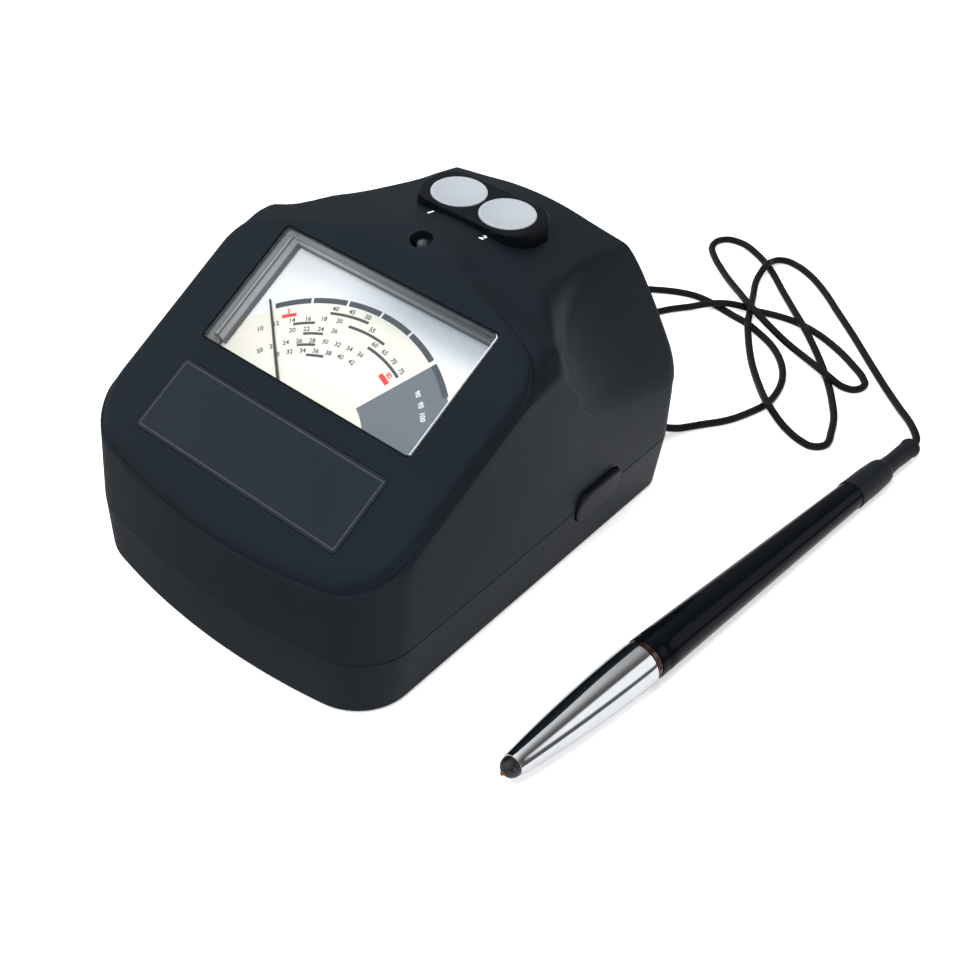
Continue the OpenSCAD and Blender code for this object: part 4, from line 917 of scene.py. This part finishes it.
# test discs in their block, with plain figures, and the lamp
def makeDiscs():
    r, low, top = discs["radius"], discTop - discs["well"], discTop + discs["proud"]
    places = [move(sx * discs["pitch"] / 2, discs["y"]) for sx in (-1, 1)]
    bm = block(discs["width"], discs["depth"], discTop - discs["tall"], discTop, discs["corner"], 0.5, 16)
    put(bm, move(0, discs["y"]))
    well = [(0, low), (r + 0.12, low)] + stepped(r, discTop, (0.12, -0.1), (0.4, 0.2), (0.4, 2), (-r, 2))
    bm = carve(bm, joined(*(put(lathe(well, 96), place) for place in places)))
    blockPlastic = glossPlastic("block_plastic", (11, 14, 18), 0.32, 0.09)
    addPiece("disc_seat", bm, blockPlastic, ("disc_block",))
    p = Paint("disc_metal")
    fine = p.noise(2600, 3, 0.6)
    brushed = p.noise(700, 4, 0.6, p.stretched((1, 14, 1)))
    tone = p.blend(fine * 0.5 + brushed * 0.5, rgb(156, 162, 168), rgb(176, 182, 188))
    metalFinish = p.close(Base_Color=tone, Metallic=0.15, Roughness=0.6 + (brushed - 0.5) * 0.2,
                          Specular_IOR_Level=0.3, Normal=p.bump(fine, 0.2, 0.000015))
    disc = [(0, low), (r, low)]
    disc += stepped(r, top, (0, -0.25), (-0.08, -0.07), (-0.25, 0), (-0.7, 0), (-0.8, -0.06), (-r, -0.06))
    for name, place in zip(("left", "right"), places):
        bm = put(lathe(disc, 96), place)
        addPiece("disc_" + name, bm, metalFinish, ("test_disc_" + name,))
    bm = []
    for text, x in (("1", -8), ("2", 8.7)):
        y = discs["y"] - discs["depth"] / 2 - 2.3
        lean = degrees(atan(-hood["roofFall"]))
        bm.append(put(letters(text, 3.4, 0.06), move(x, y, roofHeight(x, y) + 0.03) @ turn(lean, "X")))
    addPiece("disc_figures", joined(*bm), printed("figure_white", (236, 238, 240)))


def makeLamp():
    p = Paint("lamp_dome")
    cloud = p.noise(500, 3)
    tone = p.blend(cloud, rgb(44, 48, 52), rgb(92, 97, 101))
    finish = p.close(Base_Color=tone, Roughness=0.12 + cloud * 0.1, Transmission_Weight=0.25, IOR=1.5)
    dome = [(1.5 * cos(a), -2.2 + 1.5 * sin(a)) for a in (pi / 2 * k / 10 for k in range(11))]
    bm = lathe([(0, -5.5), (2, -5.5), (2, -4.5), (1.5, -4.5)] + dome[:-1] + [(0, -0.7)], 40)
    addPiece("lamp_dome", put(bm, lampPlace), finish, ("ready_lamp",))


makeDiscs()
makeLamp()
print("discs and lamp made")


# rocker across the seam, with plain marks at its ends
def makeRocker():
    bm = block(rocker["length"], rocker["height"], -rocker["deep"], rocker["out"], rocker["corner"], 0.5, 10)
    for v in bm.verts:
        if v.co.z > 0:
            v.co.z *= mix(rocker["flush"], 1, ease((v.co.y / rocker["height"] + 0.2) / 0.7))
    bm.normal_update()
    for face in bm.faces:
        face.material_index = 0 if face.normal.z > 0.7 else 1
    pinHole = put(lathe(rod(rocker["pin"], -20, 20), 32), move(0, 0, -rocker["pinDeep"]) @ turn(90, "X"))
    bm = put(carve(bm, pinHole), rockerPlace)
    sides = glossPlastic("rocker_side", (16, 17, 20), 0.2)
    addPiece("rocker_pad", bm, (bodyPlastic, sides), ("power_rocker",), "rocker")
    tilt = degrees(atan(1.5 * (1 - rocker["flush"]) * rocker["out"] / rocker["height"] / 0.7))
    middle = mix(rocker["flush"], 1, 0.5) * rocker["out"] + 0.02
    lie = turn(tilt, "X") @ turn(90, "Z")
    signs = [put(letters(text, 2, 0.06), move(x, rocker["height"] * 0.15, middle) @ lie)
             for text, x in (("I", rocker["length"] / 2 - 2.4), ("O", 2.4 - rocker["length"] / 2))]
    ink = printed("mark_dark", (30, 33, 37))
    addPiece("rocker_marks", put(joined(*signs), rockerPlace), ink, body="rocker")


makeRocker()


# pen probe: bullet cone, ring, barrel, sleeves, nose and tip
def penPiece(name, profile, steps, finish, node, body="probe"):
    addPiece(name, put(lathe(profile, steps), penPlace), finish, (node,), body)


def makePen():
    length, tip, fat, core = pen["coneLength"], pen["coneTip"], pen["coneRadius"], pen["coreRadius"]
    seat, bore, room = pen["noseSeat"] - length, pen["bore"], pen["room"]
    bullet = [(mix(tip, fat, 1.85 * t - 0.85 * t * t), length * (t - 1))
              for t in (k / 28 for k in range(1, 28))]
    outside = [(tip - 0.25, -length), (tip - 0.06, 0.08 - length), (tip, 0.3 - length)] + bullet
    outside += [(fat, -0.5), (fat - 0.03, -0.2), (fat - 0.2, 0)]
    hollow = [(core, 0), (core, -7), (room, -0.6 * length), (room, seat), (bore, seat), (bore, -length)]
    p = Paint("cone_chrome")
    smear = p.noise(180, 3, 0.6)
    fine = p.noise(2200, 2)
    chrome = p.close(Base_Color=p.blend(smear, rgb(206, 209, 212), rgb(230, 232, 234)), Metallic=1.0,
                     Roughness=0.09 + (smear - 0.5) * 0.06, Normal=p.bump(fine, 0.05, 0.000004))
    penPiece("pen_cone", [(bore, -length)] + outside + hollow, 96, chrome, "probe_cone")
    wide, front = fat - 0.25, pen["ringLength"]
    rim = stepped(wide, 0, (-0.25, 0), (-0.25, 0.35), (0, 0.45), (0, 1.55), (-0.25, 1.65), (-0.25, front))
    ring = lathe([(core, 0)] + rim + [(core, front), (core, 0)], 96)
    notches = [put(box(wide - 0.3, wide + 1, -0.55, 0.55, 0.7, 1.3), turn(24 * k, "Z")) for k in range(15)]
    bronze = metal("ring_bronze", (104, 84, 76), 0.3)
    ring = put(carve(ring, joined(*notches)), penPlace)
    addPiece("pen_ring", ring, bronze, ("probe_ring",), "probe")
    wide, tail = fat - 0.15, pen["tailRadius"]
    barrel = [(core, front)] + stepped(wide, 0, (-0.3, front), (-0.06, 2.1), (0, 2.35), (0, 4.6))
    barrel += stepped(wide, 0, (-0.1, 4.75), (-0.1, 4.95), (-0.02, 5.1))
    barrel += [(mix(wide - 0.02, tail, t), mix(5.1, penTail, t)) for t in (k / 20 for k in range(1, 21))]
    barrel += [(1.6, penTail), (1.6, penTail - 6), (2.4, penTail - 6), (2.4, 42), (core, 36), (core, front)]
    gloss = glossPlastic("barrel_gloss", (8, 11, 16), 0.13, 0.07)
    penPiece("pen_barrel", barrel, 96, gloss, "probe_barrel")
    rubber = softRubber("sleeve_rubber", (18, 21, 25), 0.5, 1400, 0.2)
    lip, end = pen["lipRadius"], penTail + pen["sleeveLength"]
    sleeve = [(0, penTail)] + stepped(tail, penTail, (0.05, 0), (0.05, -pen["lip"]))
    sleeve += stepped(lip, penTail, (-0.1, -pen["lip"]), (0, -1.05), (-0.12, 3), (-0.1, 7), (-0.3, 11))
    sleeve += stepped(lip, end, (-0.4, -3), (-0.5, -2), (-0.75, -1.1), (-1.1, -0.45), (-1.45, -0.08),
                      (-1.7, 0), (-lip, 0))
    penPiece("pen_sleeve", sleeve, 72, rubber, "tail_sleeve")
    thin = pen["endRadius"]
    cuff = [(0, end)] + stepped(thin, end, (0.12, 0), (0.05, 2), (-0.1, 5), (0, 8.4))
    cuff += stepped(thin, penEnd, (0.05, -2), (0.28, -1.6), (0.32, -0.9), (0.1, -0.2), (-0.4, 0), (-thin, 0))
    penPiece("pen_cuff", cuff, 56, rubber, "cord_sleeve")
    nose, point, noseEnd = pen["noseRadius"], pen["tipRadius"], pen["noseLength"]
    dome = [(nose * cos(a), -length - 0.4 - (noseEnd - 0.4) * sin(a))
            for a in (rad(5 * k) for k in range(16))]
    dome = [(r, z) for r, z in dome if r > point + 0.1] + [(point + 0.1, -length - noseEnd + 0.06)]
    dome = [(point + 0.06, seat), (2, seat), (2, -length), (nose, -length)] + dome
    dome += [(point + 0.06, 0.1 - length - noseEnd), (point + 0.06, seat)]
    penPiece("pen_nose", dome, 64, glossPlastic("nose_plastic", (17, 18, 21), 0.34), "probe_nose")
    far, low, high = -length - noseEnd - pen["tipOut"], seat + 0.1, seat + 1.1
    needle = stepped(0, far, (0, 0), (0.25, 0), (0.42, 0.1), (point, 0.3))
    needle += [(point, low), (1.5, low), (1.5, high), (0, high)]
    penPiece("pen_tip", needle, 32, metal("tip_copper", (172, 106, 70), 0.34), "probe_tip", "tip")


makePen()
print("pen made")


# gland and feet
def makeGland():
    face, end, wide, ribs = gland["face"], gland["end"], gland["radius"], gland["ribs"]
    profile = stepped(0, halfL, (0, -6.3), (wide, -6.3), (wide, -5.3), (2.4, -5.3))
    profile += stepped(0, face, (2.4, 0), (3, 0), (wide, 0.2), (wide, 1.1), (2.95, 1.4), (2.5, 1.45))
    for k in range(ribs):
        y0, y1, y2 = (mix(face + 1.45, end, step / ribs) for step in (k, k + 0.7, k + 1))
        r = mix(2.5, 1.75, k / ribs)
        profile += [(r, y0 + 0.05), (r - 0.12, y1), (r - 0.4, y1 + 0.08), (r - 0.42, y2 - 0.05)]
    profile += [(1.3, end), (0, end)]
    bm = put(lathe(profile, 40), move(gland["x"], 0, gland["z"]) @ turn(-90, "X"))
    rubber = softRubber("gland_rubber", (24, 25, 28), 0.55)
    addPiece("gland_boot", bm, rubber, ("cord_gland",))
    r, height = foot["radius"], foot["height"]
    feet = posts(footSpots, [(0, 0), (r - 0.6, 0), (r - 0.2, 0.15), (r, 0.5), (r, height), (0, height)], 40)
    rubber = softRubber("foot_rubber", (26, 27, 29), 0.7)
    addPiece("foot_pads", joined(*feet), rubber, ("rubber_feet",))


makeGland()


# the pieces inside keep the solids' own shapes and get their finishes, and the tip's spring gets a mesh of
# its own
def finishInside():
    case = Paint("case_wall")
    x, z = case.axes(case.onFace(onPanel(0, windowMid)))[::2]
    # the case wall seen through the window gets painted light and shade: lighter at the left end, painted
    # shade towards the right end, near the lens and at the bottom of the well; the streaks are random tone
    shadeAcross = x.between(-0.036, 0.036)
    streak = case.noise(160, 3)
    wallLightAndShade = case.blend(shadeAcross, rgb(176, 179, 184), rgb(70, 74, 79))
    wallLightAndShade = case.blend(z.between(-0.0045, -0.0041), wallLightAndShade, rgb(78, 82, 88))
    wallLightAndShade = case.blend(1 - z.between(-0.0086, -0.0074), wallLightAndShade, rgb(58, 62, 67))
    wallLightAndShade = case.blend(streak * 0.2, wallLightAndShade, rgb(120, 124, 130))
    casePlastic = case.close(Base_Color=wallLightAndShade, Roughness=0.3 + streak * 0.1)
    brass = metal("brass_satin", (196, 164, 92), 0.32)
    steel = metal("steel_bright", (186, 189, 193), 0.28)
    winding = Paint("coil_winding")
    turns = winding.noise(260, 2, 0.5, winding.stretched((1, 1, 22)))
    copper = winding.close(Base_Color=winding.blend(turns, rgb(120, 60, 30), rgb(196, 112, 62)), Metallic=0.8,
                           Roughness=0.3 + turns * 0.2, Normal=winding.bump(turns, 0.4, 0.00005))
    board = Paint("board_lacquer")
    tracks = board.noise(240, 1, 0.2)
    green = board.blend(tracks.between(0.52, 0.56), rgb(20, 84, 50), rgb(34, 110, 66))
    lacquer = board.close(Base_Color=green, Roughness=0.3 + tracks * 0.1)
    sleeve = Paint("cell_sleeve")
    wear = sleeve.noise(120, 3)
    band = sleeve.axes(sleeve.place)[0].between(0.012, 0.0124)
    tone = sleeve.blend(wear, rgb(40, 62, 110), rgb(52, 78, 132))
    cell = sleeve.close(Base_Color=sleeve.blend(band, tone, rgb(176, 180, 186)), Metallic=0.3,
                        Roughness=0.3 + wear * 0.1)
    inside = {
        "meter_case": casePlastic, "moving_coil": copper, "main_board": lacquer, "battery_cells": cell,
        "battery_door": bodyPlastic, "meter_magnet": metal("magnet_grey", (96, 98, 102), 0.5),
        "meter_core": metal("core_iron", (150, 152, 156), 0.35),
        "pivot_jewels": glossPlastic("jewel_red", (170, 34, 48), 0.1),
        "pointer": printed("pointer_black", (26, 27, 30)),
        "switch_body": glossPlastic("switch_plastic", (20, 20, 22), 0.4),
        "housing_screws": metal("screw_black", (70, 72, 76), 0.4),
        "battery_contacts": metal("contact_nickel", (196, 194, 182), 0.3),
        "probe_core": glossPlastic("core_ivory", (214, 211, 200), 0.3)}
    inside.update({name: brass for name in ("upper_bridge", "lower_bridge", "hair_spring")})
    inside.update({name: steel for name in ("meter_screws", "board_screws", "switch_pin", "usb_socket",
                                            "tip_spring")})
    for name, finish in inside.items():
        nodes[name].data.materials.clear()
        nodes[name].data.materials.append(finish)
    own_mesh(nodes["tip_spring"])


finishInside()
print("inner pieces finished")
